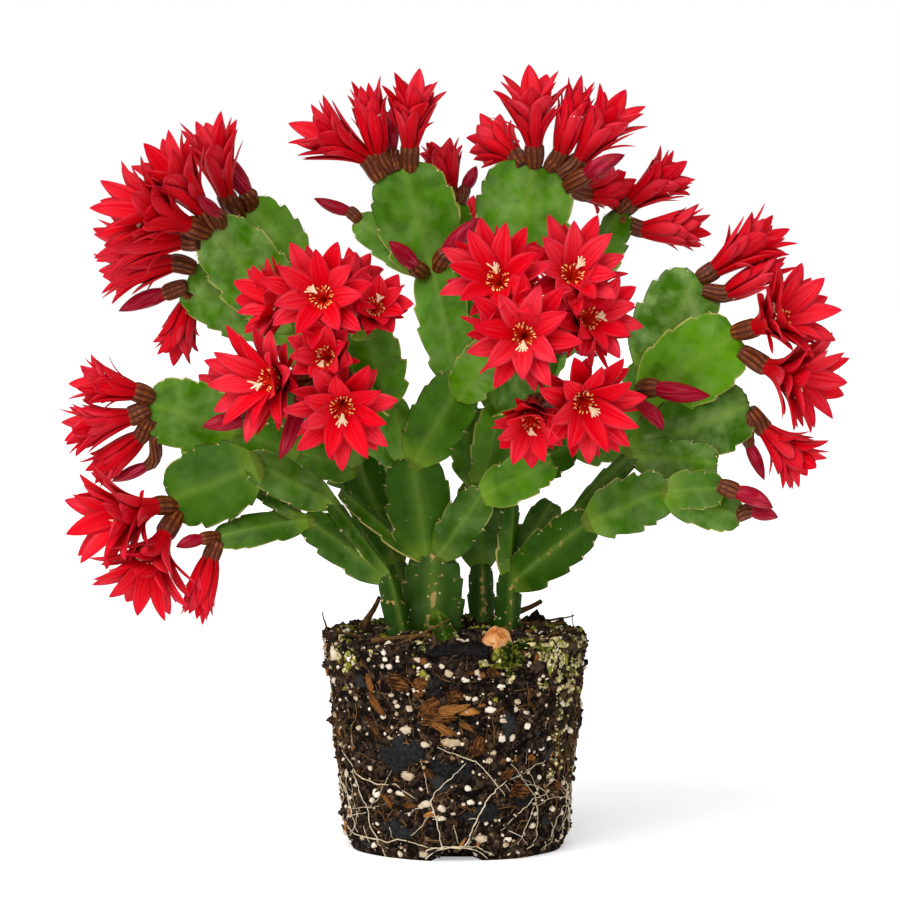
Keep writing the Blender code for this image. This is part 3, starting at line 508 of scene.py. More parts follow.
# The lit colour is a painted highlight
PETAL_LIT, PETAL_TIP = "EE485A", "B80A2C"


def veined(tree, across, along, detail):
    """A noise that follows a swept piece, with so many veins across and clouds along it."""
    names = {"X": "across", "Y": "along", "Z": "tone"}
    read = {axis: add(tree, "Attribute", out="Fac", attribute_name=name) for axis, name in names.items()}
    joined = add(tree, "CombineXYZ", read)
    where = add(tree, "Mapping", {"Vector": joined, "Scale": (across, along, 31.0)})
    return add(tree, "TexNoise", {"Vector": where, "Scale": 1.0, "Detail": detail})


def petal_satin():
    glow = {"Subsurface Weight": 0.15, "Subsurface Radius": (1.0, 0.12, 0.1), "Subsurface Scale": 1.5 * MM}
    made, tree, shader = start_material("Satin petal", 0.45, 0.045, glow)
    names = ("along", "tone", "across")
    along, tone, across = [add(tree, "Attribute", out="Fac", attribute_name=name) for name in names]
    veins = veined(tree, 6.0, 1.2, 2.0)
    # Darker toward the throat, partly painted shade in the funnel
    rise = add(tree, "MapRange", {"Value": along, "From Min": 0.16, "From Max": 0.55})
    # A painted highlight, lighter along the edges and on the veins, the more so further out
    edge = add(tree, "Math", {0: across}, operation="ABSOLUTE")
    edge = add(tree, "MapRange", {"Value": edge, "From Min": 0.6, "To Max": 0.2})
    light = add(tree, "Math", {0: tone, 1: 0.3, 2: veins}, operation="MULTIPLY_ADD")
    light = add(tree, "Math", {0: light, 1: edge}, operation="ADD")
    light = add(tree, "MapRange", {"Value": light, "From Min": 0.52, "From Max": 1.1, "To Max": 0.9})
    outer = add(tree, "MapRange", {"Value": along, "From Min": 0.3, "From Max": 0.85, "To Min": 0.1})
    light = add(tree, "Math", {0: light, 1: outer}, operation="MULTIPLY")
    tip = add(tree, "MapRange", {"Value": along, "From Min": 0.86, "To Max": 0.6})
    layers = [(rise, PETAL_BODY), (light, PETAL_LIT), (tip, PETAL_TIP)]
    lay_colours(tree, shader, PETAL_CRIMSON_THROAT_AND_SHADE, layers, veins, 0.22, 0.0008)
    return made


PETAL_SATIN = petal_satin()
print(PETAL_SATIN.name, "has", len(PETAL_SATIN.node_tree.nodes), "nodes")

# %% Ribbed tubes and buds
# The groove colour is painted shade in the gaps between the plates, and the ridge colour a pale crest with a
# painted highlight
TUBE_GROOVE_SHADE, TUBE_FLANK, TUBE_PALE_RIDGE_AND_HIGHLIGHT = "220A04", "582408", "9A5422"
BUD_DEEP, BUD_BODY, BUD_PAINTED_SHINE = "6A0014", "B40428", "E05A74"


def tube_husk():
    made, tree, shader = start_material("Corky brown husk", 0.36, 0.22)
    ridge = add(tree, "Attribute", out="Fac", attribute_name="across")
    grain = veined(tree, 5.0, 6.0, 4.0)
    flank = add(tree, "Math", {0: ridge, 1: grain}, operation="ADD")
    flank = add(tree, "MapRange", {"Value": flank, "From Min": 0.35, "From Max": 0.95})
    # Painted highlight on the crests of the plates, over their paler colour
    crest = add(tree, "Math", {0: ridge, 1: grain}, operation="MULTIPLY")
    crest = add(tree, "MapRange", {"Value": crest, "From Min": 0.4, "From Max": 0.75})
    layers = [(flank, TUBE_FLANK), (crest, TUBE_PALE_RIDGE_AND_HIGHLIGHT)]
    lay_colours(tree, shader, TUBE_GROOVE_SHADE, layers, grain, 0.4, 0.0005)
    return made


def bud_skin():
    made, tree, shader = start_material("Bud skin", 0.28, 0.1)
    across = add(tree, "Attribute", out="Fac", attribute_name="across")
    along = add(tree, "Attribute", out="Fac", attribute_name="along")
    veins = veined(tree, 9.0, 2.0, 4.0)
    # A painted shine along the veins, for the gloss of the bud
    painted_shine = {"Value": veins, "From Min": 0.52, "From Max": 0.72, "To Max": 0.6}
    painted_shine = add(tree, "MapRange", painted_shine)
    # Painted shade darkens the seams between the wrapped petals
    seam = add(tree, "MapRange", {"Value": across, "From Min": 0.7, "To Max": 0.95})
    tip = add(tree, "MapRange", {"Value": along, "From Min": 0.82, "To Max": 0.8})
    layers = [(veins, BUD_BODY), (painted_shine, BUD_PAINTED_SHINE), (seam, BUD_DEEP), (tip, BUD_DEEP)]
    lay_colours(tree, shader, BUD_DEEP, layers, veins, 0.2, 0.0005)
    return made


TUBE_HUSK = tube_husk()
BUD_SKIN = bud_skin()
print(TUBE_HUSK.name, "and", BUD_SKIN.name)

# %% [markdown]
# ## Small even finishes
# Filaments, anthers, stigmas, the felt of the areoles, roots and grains are small, so their
# detail is a slight mottling between two colours, with a matte surface. Its clouds are from
# under one to about four millimetres wide.

# %% Mottled finishes


def mottled(name, dark, light, roughness, scale, bump=0.0, contrast=1.0, grain=None):
    """A finish that wanders between two colours, by a noise with that many clouds to the metre
    and by the tone of each grain. Contrast deepens the clouds. With grain, the clouds are fibres
    that lie along each copied shape instead: so many of them along, through and across it."""
    made, tree, shader = start_material(name, roughness, 0.06)
    if grain:
        local = add(tree, "Attribute", out="Vector", attribute_name="local")
        where = add(tree, "Mapping", {"Vector": local, "Scale": grain})
    else:
        where = add(tree, "TexCoord", out="Object")
    cloud = add(tree, "TexNoise", {"Vector": where, "Scale": scale, "Detail": 4.0})
    tone = add(tree, "Attribute", out="Fac", attribute_name="tone")
    deep = add(tree, "Math", {0: cloud, 1: contrast, 2: tone}, operation="MULTIPLY_ADD")
    ends = {"From Min": contrast * 0.5 - 0.05, "From Max": contrast * 0.5 + 1.0}
    share = add(tree, "MapRange", {"Value": deep, **ends})
    colour = add(tree, "Mix", {0: share, 6: linear(dark), 7: linear(light)}, data_type="RGBA")
    wire(shader, {"Base Color": colour})
    if bump:
        rough = add(tree, "Bump", {"Height": cloud, "Strength": 0.8, "Distance": bump})
        wire(shader, {"Normal": rough})
    return made


FILAMENT = mottled("Filament", "EC1010", "FF4A22", 0.5, 900.0)
ANTHER = mottled("Pollen on anthers", "FFC658", "FFEEA6", 0.8, 1500.0)
STIGMA = mottled("Moist stigma", "EBD6A4", "F6ECD0", 0.5, 900.0)
FELT = mottled("Areole felt", "8F7242", "DCCB9C", 0.9, 1500.0, 0.0003)
PERLITE = mottled("Expanded perlite", "A8906E", "E9DDCB", 0.85, 500.0, 0.0004)
CRUMB = mottled("Peat crumb", "0E0B09", "4A3A2B", 0.95, 420.0, 0.0006)
CHIP = mottled("Composted bark", "2A150A", "AE7238", 0.85, 1.0, 0.0014, 2.4, (1.3, 4.0, 7.0))
CHARCOAL = mottled("Horticultural charcoal", "0E0E0E", "303131", 0.85, 700.0, 0.0012, 1.6)
ROOT = mottled("Fine root", "A08A66", "DDCFB4", 0.6, 500.0)
# The moss wanders between its own greens, partly painted shade between its knobs and painted highlight on
# them
MOSS = mottled("Cushion moss", "0C1E02", "8A8A2C", 0.95, 520.0, 0.0010, 2.6)
ALGA = mottled("Lichen crust", "363008", "E2D698", 0.95, 700.0, 0.0014, 2.2)
STONE_FACE = mottled("Sandstone", "A4500A", "EABE84", 0.8, 240.0, 0.0006, 2.4)
TWIG = mottled("Dry twig", "2E1E10", "866238", 0.85, 400.0, 0.0004, 1.5)
BURNT = mottled("Charred wood", "050505", "201E1C", 0.7, 420.0, 0.0014, 2.5)
print("mottled finishes ready")

# %% [markdown]
# ## Peat
# The root ball is composted peat and bark: nearly black, with crumbs of many browns a
# millimetre or two across, and a dusting of tan grit. Cells of a Voronoi texture are the crumbs:
# each gets its own random colour, and a ramp turns that into mostly black, some brown, few tan.

# %% Peat with grit
PEAT_STOPS = {0.0: "070504", 0.42: "130D09", 0.62: "2A1E17", 0.8: "403024", 0.93: "624A36", 0.985: "A88C66"}


def peat():
    made, tree, shader = start_material("Peat", 0.95, 0.06)
    crumbly = warped(tree, add(tree, "TexCoord", out="Object"), 350.0, 0.003)
    # Fine cells are grit and broad ones are lumps, and the red of each cell's colour is its luck
    fine, broad = [add(tree, "TexVoronoi", {"Vector": crumbly, "Scale": scale}) for scale in (620.0, 230.0)]
    lucks = [cells.node.outputs["Color"] for cells in (fine, broad)]
    grit, lumps = [add(tree, "SeparateColor", {"Color": luck}) for luck in lucks]
    ramp = add(tree, "ValToRGB", {"Fac": add(tree, "Mix", {0: 0.4, 2: grit, 3: lumps})}, "Color")
    stops = ramp.node.color_ramp.elements
    while len(stops) < len(PEAT_STOPS):
        stops.new(0.5)
    for stop, (at, colour) in zip(stops, PEAT_STOPS.items()):
        stop.position = at
        stop.color = linear(colour)
    bump = add(tree, "Bump", {"Height": fine, "Strength": 0.9, "Distance": 0.0012}, invert=True)
    wire(shader, {"Base Color": ramp, "Normal": bump})
    return made


PEAT = peat()
print(PEAT.name, "has", len(PEAT.node_tree.nodes), "nodes")

# %% [markdown]
# ## Three rules that grow most pieces
# Petals, tubes, buds, stamens and roots all follow a path, and differ only in their outline and
# in how wide they are along it. So one Geometry Nodes tree sweeps an outline along every path
# of a mesh of loose edges. Each point of a path says how wide the piece is there and which way
# it faces. A mesh lathe or a skin modifier could do one kind of piece, but a sweep does all.
#
# Anthers, felt dots and lumps placed one by one are copies of a few small shapes, put at given points.
# Crumbs, perlite and moss are copies too, but strewn over a surface by a density. All three
# rules end as plain meshes, because an exported model can't hold instances.

# %% Running a tree


def start_tree(name, kinds):
    """An empty Geometry Nodes tree with the named inputs, and those inputs as outputs to link."""
    tree = bpy.data.node_groups.new(name, "GeometryNodeTree")
    for label, kind in {"Geometry": "Geometry", **kinds}.items():
        tree.interface.new_socket(label, in_out="INPUT", socket_type="NodeSocket" + kind)
    tree.interface.new_socket("Geometry", in_out="OUTPUT", socket_type="NodeSocketGeometry")
    return tree, add(tree, "NodeGroupInput").node.outputs


def finish_tree(tree, grown, finish):
    """Ends a tree in plain geometry with a material and smooth shading."""
    plain = add(tree, "GeometryNodeRealizeInstances", {"Geometry": grown})
    smooth = add(tree, "GeometryNodeSetShadeSmooth", {"Geometry": plain})
    painted = add(tree, "GeometryNodeSetMaterial", {"Geometry": smooth, "Material": finish})
    add(tree, "NodeGroupOutput", {"Geometry": painted})
    return tree


def grow(name, mesh, tree, values):
    """Runs a tree on a mesh and keeps the result as a plain mesh object."""
    host = in_scene(name, mesh)
    rule = host.modifiers.new("Rule", "NODES")
    rule.node_group = tree
    for socket in tree.interface.items_tree:
        if socket.in_out == "INPUT" and socket.name in values:
            rule[socket.identifier] = values[socket.name]
    graph = bpy.context.evaluated_depsgraph_get()
    grown = host.evaluated_get(graph)
    plain = bpy.data.meshes.new_from_object(grown, preserve_all_data_layers=True, depsgraph=graph)
    host.modifiers.clear()
    host.data = plain
    return host


# %% Sweep an outline along paths


def sweep_rule():
    tree, given = start_tree("Sweep along paths", {"Outline": "Object", "Finish": "Material"})
    path = add(tree, "GeometryNodeMeshToCurve", {"Mesh": given["Geometry"]})
    facing = add(tree, "GeometryNodeInputNamedAttribute", {"Name": "facing"}, data_type="FLOAT_VECTOR")
    faced = add(tree, "GeometryNodeSetCurveNormal", {"Curve": path, "Normal": facing}, mode="FREE")
    wide = add(tree, "GeometryNodeInputNamedAttribute", {"Name": "wide"}, data_type="FLOAT")
    share = add(tree, "GeometryNodeSplineParameter", out="Factor")
    marked = {"Geometry": faced, "Name": "along", "Value": share}
    marked = add(tree, "GeometryNodeStoreNamedAttribute", marked, data_type="FLOAT", domain="POINT")
    outline = add(tree, "GeometryNodeObjectInfo", {"Object": given["Outline"]}, "Geometry")
    outline = add(tree, "GeometryNodeMeshToCurve", {"Mesh": outline})
    swept = {"Curve": marked, "Profile Curve": outline, "Scale": wide, "Fill Caps": True}
    return finish_tree(tree, add(tree, "GeometryNodeCurveToMesh", swept), given["Finish"])


SWEEP = sweep_rule()
OUTLINES = []


def outline_object(name, corners, across):
    """A closed outline in the XY plane for sweeping, a unit wide each way, with its own number."""
    mesh = bpy.data.meshes.new(name)
    count = len(corners)
    mesh.from_pydata([(x, y, 0.0) for x, y in corners], [(i, (i + 1) % count) for i in range(count)], [])
    mark(mesh, "across", across)
    OUTLINES.append(in_scene(name, mesh))
    return OUTLINES[-1]


class Paths:
    """Gathers paths into one mesh of loose edges: points, widths, facings and a tone each."""

    def __init__(self):
        self.points, self.edges = [], []
        self.wide, self.facing, self.tone = [], [], []

    def add(self, points, wide, tone, facing=None):
        """Facing is turned square to the path at each point."""
        first, count = len(self.points), len(points)
        self.points += points
        self.edges += [(first + i, first + i + 1) for i in range(count - 1)]
        self.wide += wide
        for i in range(count):
            run = points[min(i + 1, count - 1)] - points[max(i - 1, 0)]
            self.facing.append(frame_along(run, facing[i] if facing else UPWARD)[2])
        self.tone += [tone] * count

    def sweep(self, name, outline, finish):
        mesh = bpy.data.meshes.new(name)
        mesh.from_pydata(self.points, self.edges, [])
        mark(mesh, "wide", self.wide)
        mark(mesh, "tone", self.tone)
        mark(mesh, "facing", self.facing, "FLOAT_VECTOR")
        made = grow(name, mesh, SWEEP, {"Outline": outline, "Finish": finish})
        face_outwards(made.data)
        return made


print("sweep:", len(SWEEP.nodes), "nodes")

# %% Copies at points and copies strewn over a surface


def copies_rule():
    tree, given = start_tree("Copies at points", {"Shapes": "Collection", "Finish": "Material"})
    shapes = {"Collection": given["Shapes"], "Separate Children": True, "Reset Children": True}
    shapes = add(tree, "GeometryNodeCollectionInfo", shapes)
    turn = add(tree, "GeometryNodeInputNamedAttribute", {"Name": "turn"}, data_type="FLOAT_VECTOR")
    turn = add(tree, "FunctionNodeEulerToRotation", {"Euler": turn})
    size = add(tree, "GeometryNodeInputNamedAttribute", {"Name": "size"}, data_type="FLOAT_VECTOR")
    put = {"Points": given["Geometry"], "Instance": shapes, "Pick Instance": True}
    put |= {"Rotation": turn, "Scale": size}
    return finish_tree(tree, add(tree, "GeometryNodeInstanceOnPoints", put), given["Finish"])


def strewn_rule():
    kinds = {"Shapes": "Collection", "Finish": "Material", "Where": "String", "Density": "Float"}
    kinds |= {"Smallest": "Float", "Largest": "Float", "Tilt": "Float", "Seed": "Int"}
    tree, given = start_tree("Copies strewn over a surface", kinds)
    shapes = {"Collection": given["Shapes"], "Separate Children": True, "Reset Children": True}
    shapes = add(tree, "GeometryNodeCollectionInfo", shapes)
    where = add(tree, "GeometryNodeInputNamedAttribute", {"Name": given["Where"]}, data_type="FLOAT")
    dense = add(tree, "Math", {0: where, 1: given["Density"]}, operation="MULTIPLY")
    spots = {"Mesh": given["Geometry"], "Density": dense, "Seed": given["Seed"]}
    spots = add(tree, "GeometryNodeDistributePointsOnFaces", spots).node.outputs
    # Most grains are small: a random number to the third power picks the size
    luck = add(tree, "FunctionNodeRandomValue", {"Seed": given["Seed"]}, data_type="FLOAT")
    luck = add(tree, "Math", {0: luck, 1: 3.0}, operation="POWER")
    size = {"Value": luck, "To Min": given["Smallest"], "To Max": given["Largest"]}
    size = add(tree, "MapRange", size)
    stretch = {0: (0.75, 0.75, 0.75), 1: (1.3, 1.3, 1.3), "Seed": 5}
    stretch = add(tree, "FunctionNodeRandomValue", stretch, data_type="FLOAT_VECTOR")
    scale = add(tree, "VectorMath", {0: stretch, "Scale": size}, operation="SCALE")
    # Each is spun about the surface's normal, and tipped from it by up to the tilt
    spin = {0: (-1.0, -1.0, -math.pi), 1: (1.0, 1.0, math.pi), "Seed": 9}
    spin = add(tree, "FunctionNodeRandomValue", spin, data_type="FLOAT_VECTOR")
    lean = add(tree, "CombineXYZ", {"X": given["Tilt"], "Y": given["Tilt"], "Z": 1.0})
    spin = add(tree, "VectorMath", {0: spin, 1: lean}, operation="MULTIPLY")
    spin = add(tree, "FunctionNodeEulerToRotation", {"Euler": spin})
    turn = {"Rotation": spots["Rotation"], "Rotate By": spin}
    turn = add(tree, "FunctionNodeRotateRotation", turn, rotation_space="LOCAL")
    put = {"Points": spots["Points"], "Instance": shapes, "Pick Instance": True}
    put |= {"Rotation": turn, "Scale": scale}
    put = add(tree, "GeometryNodeInstanceOnPoints", put)
    tone = add(tree, "FunctionNodeRandomValue", {"Seed": 3}, data_type="FLOAT")
    toned = {"Geometry": put, "Name": "tone", "Value": tone}
    toned = add(tree, "GeometryNodeStoreNamedAttribute", toned, data_type="FLOAT", domain="INSTANCE")
    return finish_tree(tree, toned, given["Finish"])


COPIES = copies_rule()
STREWN = strewn_rule()


def copies(name, spots, shapes, finish):
    """Copies of the shapes at rows of (place, turn, size, tone)."""
    mesh = bpy.data.meshes.new(name)
    mesh.from_pydata([spot[0] for spot in spots], [], [])
    mark(mesh, "turn", [tuple(spot[1]) for spot in spots], "FLOAT_VECTOR")
    mark(mesh, "size", [tuple(spot[2]) for spot in spots], "FLOAT_VECTOR")
    mark(mesh, "tone", [spot[3] for spot in spots])
    return grow(name, mesh, COPIES, {"Shapes": shapes, "Finish": finish})


print("copies:", len(COPIES.nodes), "nodes, strewn:", len(STREWN.nodes), "nodes")

# %% [markdown]
# ## A few small shapes to copy
# A grain of perlite is a knobbly lump, a bark chip a flat splinter with broken ends, charcoal an
# angular block, and an anther a slim bean. Each kind has a few variants of a few dozen faces,
# so that no two neighbours look alike, and so that a thousand of them stay light.

# %% Shapes to copy


def broken_faces(count, draw):
    """Planes that cut a lump to a broken block: a normal and a distance from the middle each."""
    planes = []
    for _ in range(count):
        normal = Vector([draw.gauss(0.0, 1.0) for _ in range(3)]).normalized()
        planes.append((normal, draw.uniform(0.6, 0.9)))
    return planes


def lump_mesh(name, detail, planes, shaped):
    """A mesh of a sphere whose points go where shaped(way, cut) says. It says also what place in
    its own shape each point keeps, so that a fibre can follow every copy."""
    bm = bmesh.new()
    bmesh.ops.create_icosphere(bm, subdivisions=detail, radius=1.0)
    local = []
    for vert in bm.verts:
        way = vert.co.normalized()
        reaches = [distance / way.dot(normal) for normal, distance in planes if way.dot(normal) > 0.1]
        vert.co, kept = shaped(way, min([1.0, *reaches]))
        local.append(kept)
    mesh = bpy.data.meshes.new(name)
    bm.to_mesh(mesh)
    bm.free()
    mark(mesh, "local", local, "FLOAT_VECTOR")
    return mesh


SHAPE_SETS = []


def shapes_to_copy(name, count, detail, flat, roughness, fine, cuts=0):
    """A collection of lumps of unit radius: flat squashes them by axis, roughness dents them by
    a noise that is finer the larger fine is, and cuts is how many flat faces break them."""
    made = bpy.data.collections.new(name)
    bpy.context.scene.collection.children.link(made)
    SHAPE_SETS.append(made)
    for i in range(count):

        def shaped(way, cut):
            swell = cut + roughness * noise.noise(way * fine + Vector((7.0 * i, 3.0, 1.0)))
            swell += roughness * 0.3 * noise.noise(way * fine * 3.3 + Vector((1.0, 7.0 * i, 5.0)))
            spot = Vector([way[k] * flat[k] * swell for k in range(3)])
            return spot, spot

        mesh = lump_mesh(name, detail, broken_faces(cuts, random.Random(name + str(i))), shaped)
        made.objects.link(bpy.data.objects.new(f"{name}_{i}", mesh))
    return made


GRAINS = shapes_to_copy("grains", 5, 2, (1.0, 0.88, 0.8), 0.4, 1.7)
CLODS = shapes_to_copy("clods", 5, 2, (1.0, 0.9, 0.7), 1.0, 1.6)
SPLINTERS = shapes_to_copy("splinters", 5, 1, (1.0, 0.42, 0.2), 0.8, 2.2)
BLOCKS = shapes_to_copy("blocks", 4, 1, (1.0, 0.7, 0.55), 1.0, 1.9)
CUSHIONS = shapes_to_copy("cushions", 4, 2, (1.0, 0.9, 0.8), 0.9, 2.4)
COALS = shapes_to_copy("coals", 4, 4, (1.0, 1.0, 1.0), 0.16, 3.0, 11)
FLAKES = shapes_to_copy("flakes", 5, 4, (1.0, 1.0, 1.0), 0.3, 2.4, 14)
DOTS = shapes_to_copy("dots", 2, 1, (1.0, 1.0, 0.7), 0.3, 2.0)
BEANS = shapes_to_copy("beans", 2, 1, (0.5, 0.45, 1.0), 0.3, 1.5)

# %% The round outline
ROUND_TURNS = [i * 2 * math.pi / 6 for i in range(6)]
ROUND = outline_object("outline_round", [(math.cos(a), math.sin(a)) for a in ROUND_TURNS], [0.0] * 6)
print("round outline:", len(ROUND.data.vertices), "corners")

# %% [markdown]
# ## Pads
# Each pad is a segment of the flattened stem: oblong, with three or four saw-like teeth a side, a
# raised midrib, thin margins, and a blunt jagged tip. A pad could be a subdivided block, but its
# teeth have to sit at exact places, because felt dots grow in the notches and the next pad or
# flower grows at the tip. So each one is built row by row: a ring of points runs round the pad at
# each of some fifty levels, its width comes from a smooth envelope with the notches cut in, and its
# thickness falls from the rib to the margin. The young ones are flat and the woody ones by the
# soil nearly round.

# %% The shape of a pad
PAD_SINK = 3.0 * MM
PAD_ROWS = 30
# Columns across one face, as shares of the half width
PAD_COLUMNS = (1.0, 0.985, 0.93, 0.8, 0.6, 0.38, 0.17, 0.0, -0.17, -0.38, -0.6, -0.8, -0.93, -0.985, -1.0)
# Half width along a pad, as a share: it narrows to a neck and ends blunt
ENVELOPE = ((0.0, 0.22), (0.08, 0.42), (0.17, 0.68), (0.27, 0.87), (0.4, 0.97), (0.52, 1.01), (0.64, 1.0))
ENVELOPE += ((0.75, 0.96), (0.85, 0.88), (0.92, 0.77), (0.965, 0.65), (0.99, 0.54), (1.0, 0.46))
# Thickness along a pad, as a share
SWELL = ((0.0, 0.55), (0.15, 1.0), (0.6, 0.95), (0.88, 0.75), (0.97, 0.5), (1.0, 0.12))
NOTCHES = (0.33, 0.57, 0.76, 0.92)
SMALL_NOTCHES = (0.44, 0.7, 0.9)
NOTCH_DEPTH = 2.6 * MM
TIP_TOOTH = 1.1 * MM
MARGIN_HALF = 0.38 * MM
RIB_HALF = 0.8 * MM
# Widths under which a pad is small, and thicknesses from which it is woody, in millimetres
SMALL = 22
WOODY = 8


def pulled_in(share, notches):
    """How far the outline is pulled in there, in depths of a notch. It eases out through each
    tooth and drops back at the notch above it."""
    low, depth = -0.25, 0.7
    for high, next_depth in notches:
        if share < high:
            rise = (share - low) / (high - low)
            drop = max(0.0, 1.0 - (1.0 - rise) / 0.05)
            return depth * (1.0 - rise**0.8) + next_depth * drop
        low, depth = high, next_depth
    return depth * (1.0 - min(1.0, (share - low) / (1.02 - low)) ** 0.3)


def pad_points(row, draw):
    """Rings of points round one pad, with its numbers, and the places of its felt dots."""
    neck, tip, width, thick, facing = row
    neck, tip = place(neck), place(tip)
    neck -= (tip - neck).normalized() * PAD_SINK
    across, along, out = frame_along(tip - neck, Vector(facing))
    length, half = (tip - neck).length, width * MM / 2
    small, woody = width < SMALL, thick >= WOODY
    sides = {1: [], -1: []}
    for side in sides:
        for notch in SMALL_NOTCHES if small else NOTCHES:
            sides[side].append((notch + draw.uniform(-0.045, 0.045), draw.uniform(0.4, 1.15)))
    arch, cup = draw.uniform(-1.3, 1.3) * MM, draw.uniform(-0.7, 1.0) * MM
    wave, turns, start = draw.uniform(0.2, 0.8) * MM, draw.uniform(1.0, 2.2), draw.random() * 6
    depth = NOTCH_DEPTH * (0.85 if woody else 1.0) * (0.75 if small else 1.0) / half
    broad = 0.12 + 0.1 * min(1.0, max(0.0, (thick - 4) / 4))
    numbers = {"rib": [], "margin": [], "foot": []}
    rings, dots = [], []

    # Rows lie closer together just below each notch, where the outline drops back
    levels = {(k / PAD_ROWS) ** 0.92 for k in range(PAD_ROWS + 1)}
    for notch, _ in [*sides[1], *sides[-1]]:
        levels |= {notch - 0.013, notch - 0.003, notch + 0.006}
    corner = draw.uniform(2.2, 3.4)

    def spot(share, u, z):
        notched = depth * pulled_in(share, sides[1 if u > 0 else -1])
        reach = half * through(ENVELOPE, share) * (1.0 - notched * abs(u) ** 3)
        saw = abs((u * corner + 7.3) % 1.0 - 0.35) * 2.0 - 0.6
        climb = TIP_TOOTH * saw * max(0.0, (share - 0.88) / 0.12) ** 2
        swing = math.sin(math.pi * share)
        bend = arch * swing
        bend += (cup * u * u + wave * u**3 * math.sin(turns * math.pi * share + start)) * swing
        return neck + along * (share * length + climb) + across * (u * reach) + out * (z + bend)

    for share in sorted(levels):
        ring, swell = [], through(SWELL, share)
        for side, columns in ((1, PAD_COLUMNS), (-1, PAD_COLUMNS[-2:0:-1])):
            for u in columns:
                ridge = math.exp(-((u / broad) ** 2))
                if woody:
                    z = thick * MM / 2 * math.sqrt(max(0.0, 1.0 - u * u)) * (0.82 + 0.18 * ridge)
                else:
                    blade = (thick * MM / 2 - RIB_HALF - MARGIN_HALF) * (1.0 - abs(u) ** 1.7)
                    z = blade + RIB_HALF * ridge + MARGIN_HALF * (abs(u) < 0.99)
                ring.append(spot(share, u, side * z * swell))
                numbers["rib"].append(ridge)
                numbers["foot"].append(min(10.0, max(0.0, (share * length - PAD_SINK) / MM)))
                edge = 0.0 if woody else (abs(u) > 0.98) * 0.55 + (abs(u) > 0.99) * 0.45
                numbers["margin"].append(edge)
        rings.append(ring)
    for side in (1, -1):
        for notch, _ in sides[side]:
            dots.append((spot(notch + 0.004, side * 0.99, 0.0), across * side + along * 0.4, 1.0))
    for u in (-0.55, 0.0, 0.55):
        dots.append((spot(0.985, u, 0.0), along, 0.8))
    return rings, numbers, dots


print("a notch is", NOTCH_DEPTH / MM, "mm deep")

# %% [markdown]
# All pads of one stem become one mesh. Its numbers tell the skin how old each pad is: the low
# ones near the soil are dark and scarred, the high ones fresh.

# %% Grow the pads
OLD_BELOW = 118.0
YOUNG_ABOVE = 188.0
# The numbers of the two points that close a pad, at its neck and at its tip
END_NUMBERS = {"rib": [0.0, 0.0], "margin": [0.0, 0.0], "foot": [0.0, 10.0]}


def leafy_stem(name, rows):
    """One mesh of pads, and the rows for its felt dots."""
    draw = random.Random(name)
    points, faces, dots = [], [], []
    kept = {"rib": [], "margin": [], "foot": [], "age": [], "tone": []}
    for row in rows:
        rings, numbers, marks = pad_points(row, draw)
        first, count = len(points), len(rings[0])
        last = first + (len(rings) - 1) * count
        age = (YOUNG_ABOVE - (row[0][2] + row[1][2]) / 2) / (YOUNG_ABOVE - OLD_BELOW)
        age = min(1.0, max(0.0, age + draw.uniform(-0.15, 0.15)))
        tone = (0.1 + 0.72 * draw.random()) * (1.0 - 0.5 * age)
        for ring in rings:
            points += ring
        faces += ring_faces(first, len(rings), count)
        points += [sum(ring, Vector()) / count for ring in (rings[0], rings[-1])]
        faces += [(first + (i + 1) % count, first + i, len(points) - 2) for i in range(count)]
        faces += [(len(points) - 1, last + i, last + (i + 1) % count) for i in range(count)]
        for label, ends in END_NUMBERS.items():
            kept[label] += numbers[label] + ends
        for label, value in (("age", age), ("tone", tone)):
            kept[label] += [value] * (len(points) - first)
        dots += marks
    made = mesh_object(name.replace("stem", "pads"), points, faces, PAD_SKIN, **kept)
    face_outwards(made.data)
    return made, dots


# Three small pads fill the inside of the plant, behind the ones in front. They are too deep
# inside it to have solids of their own.
INNER_PADS = (
    ((10, 8, 156), (-1, 12, 200), 22, 5, (0.3, -1, 0)),
    ((11, 8, 150), (37, 14, 188), 27, 5, (-0.3, -1, 0)),
    ((22, -9, 116), (42, 0, 150), 18, 5, (-0.3, -1, 0.2)),
)
PADS, felt_places = {}, []
for name, rows in {**STEMS, "inner_pads": INNER_PADS}.items():
    PADS[name], marks = leafy_stem(name, rows)
    felt_places += marks
print("pads:", sum(len(made.data.polygons) for made in PADS.values()), "faces, felt dots:", len(felt_places))

# %% [markdown]
# ## Areoles
# In every notch, and along the blunt tip, sits a dot of tan felt with a few short bristles. They
# mark where the next pad or flower can grow, and give the margins their dotted look. They are
# copies of two small lumps, and the bristles are thin sweeps.

# %% Felt dots and bristles
BRISTLE_WIDTHS = [0.09 * MM, 0.07 * MM, 0.03 * MM]
draw = random.Random(41)
felt_rows, bristles = [], Paths()
for spot, way, scale in felt_places:
    size = draw.uniform(0.45, 0.75) * MM * scale
    turn = way.to_track_quat("Z", "Y").to_euler()
    felt_rows.append((spot, turn, (size, size * draw.uniform(0.8, 1.2), size), draw.random()))
    for _ in range(3):
        lean = Vector([draw.uniform(-0.5, 0.5) for _ in range(3)])
        reach = (way.normalized() + lean).normalized() * draw.uniform(0.9, 2.0) * MM
        run = [spot, spot + reach * 0.5, spot + reach]
        bristles.add(run, BRISTLE_WIDTHS, draw.random(), [Vector((0.3, 0.2, 1.0))] * 3)
copies("areoles", felt_rows, DOTS, FELT)
bristles.sweep("areole_bristles", ROUND, FELT)
print("areoles:", len(felt_rows), "bristles:", len(bristles.points) // 3)

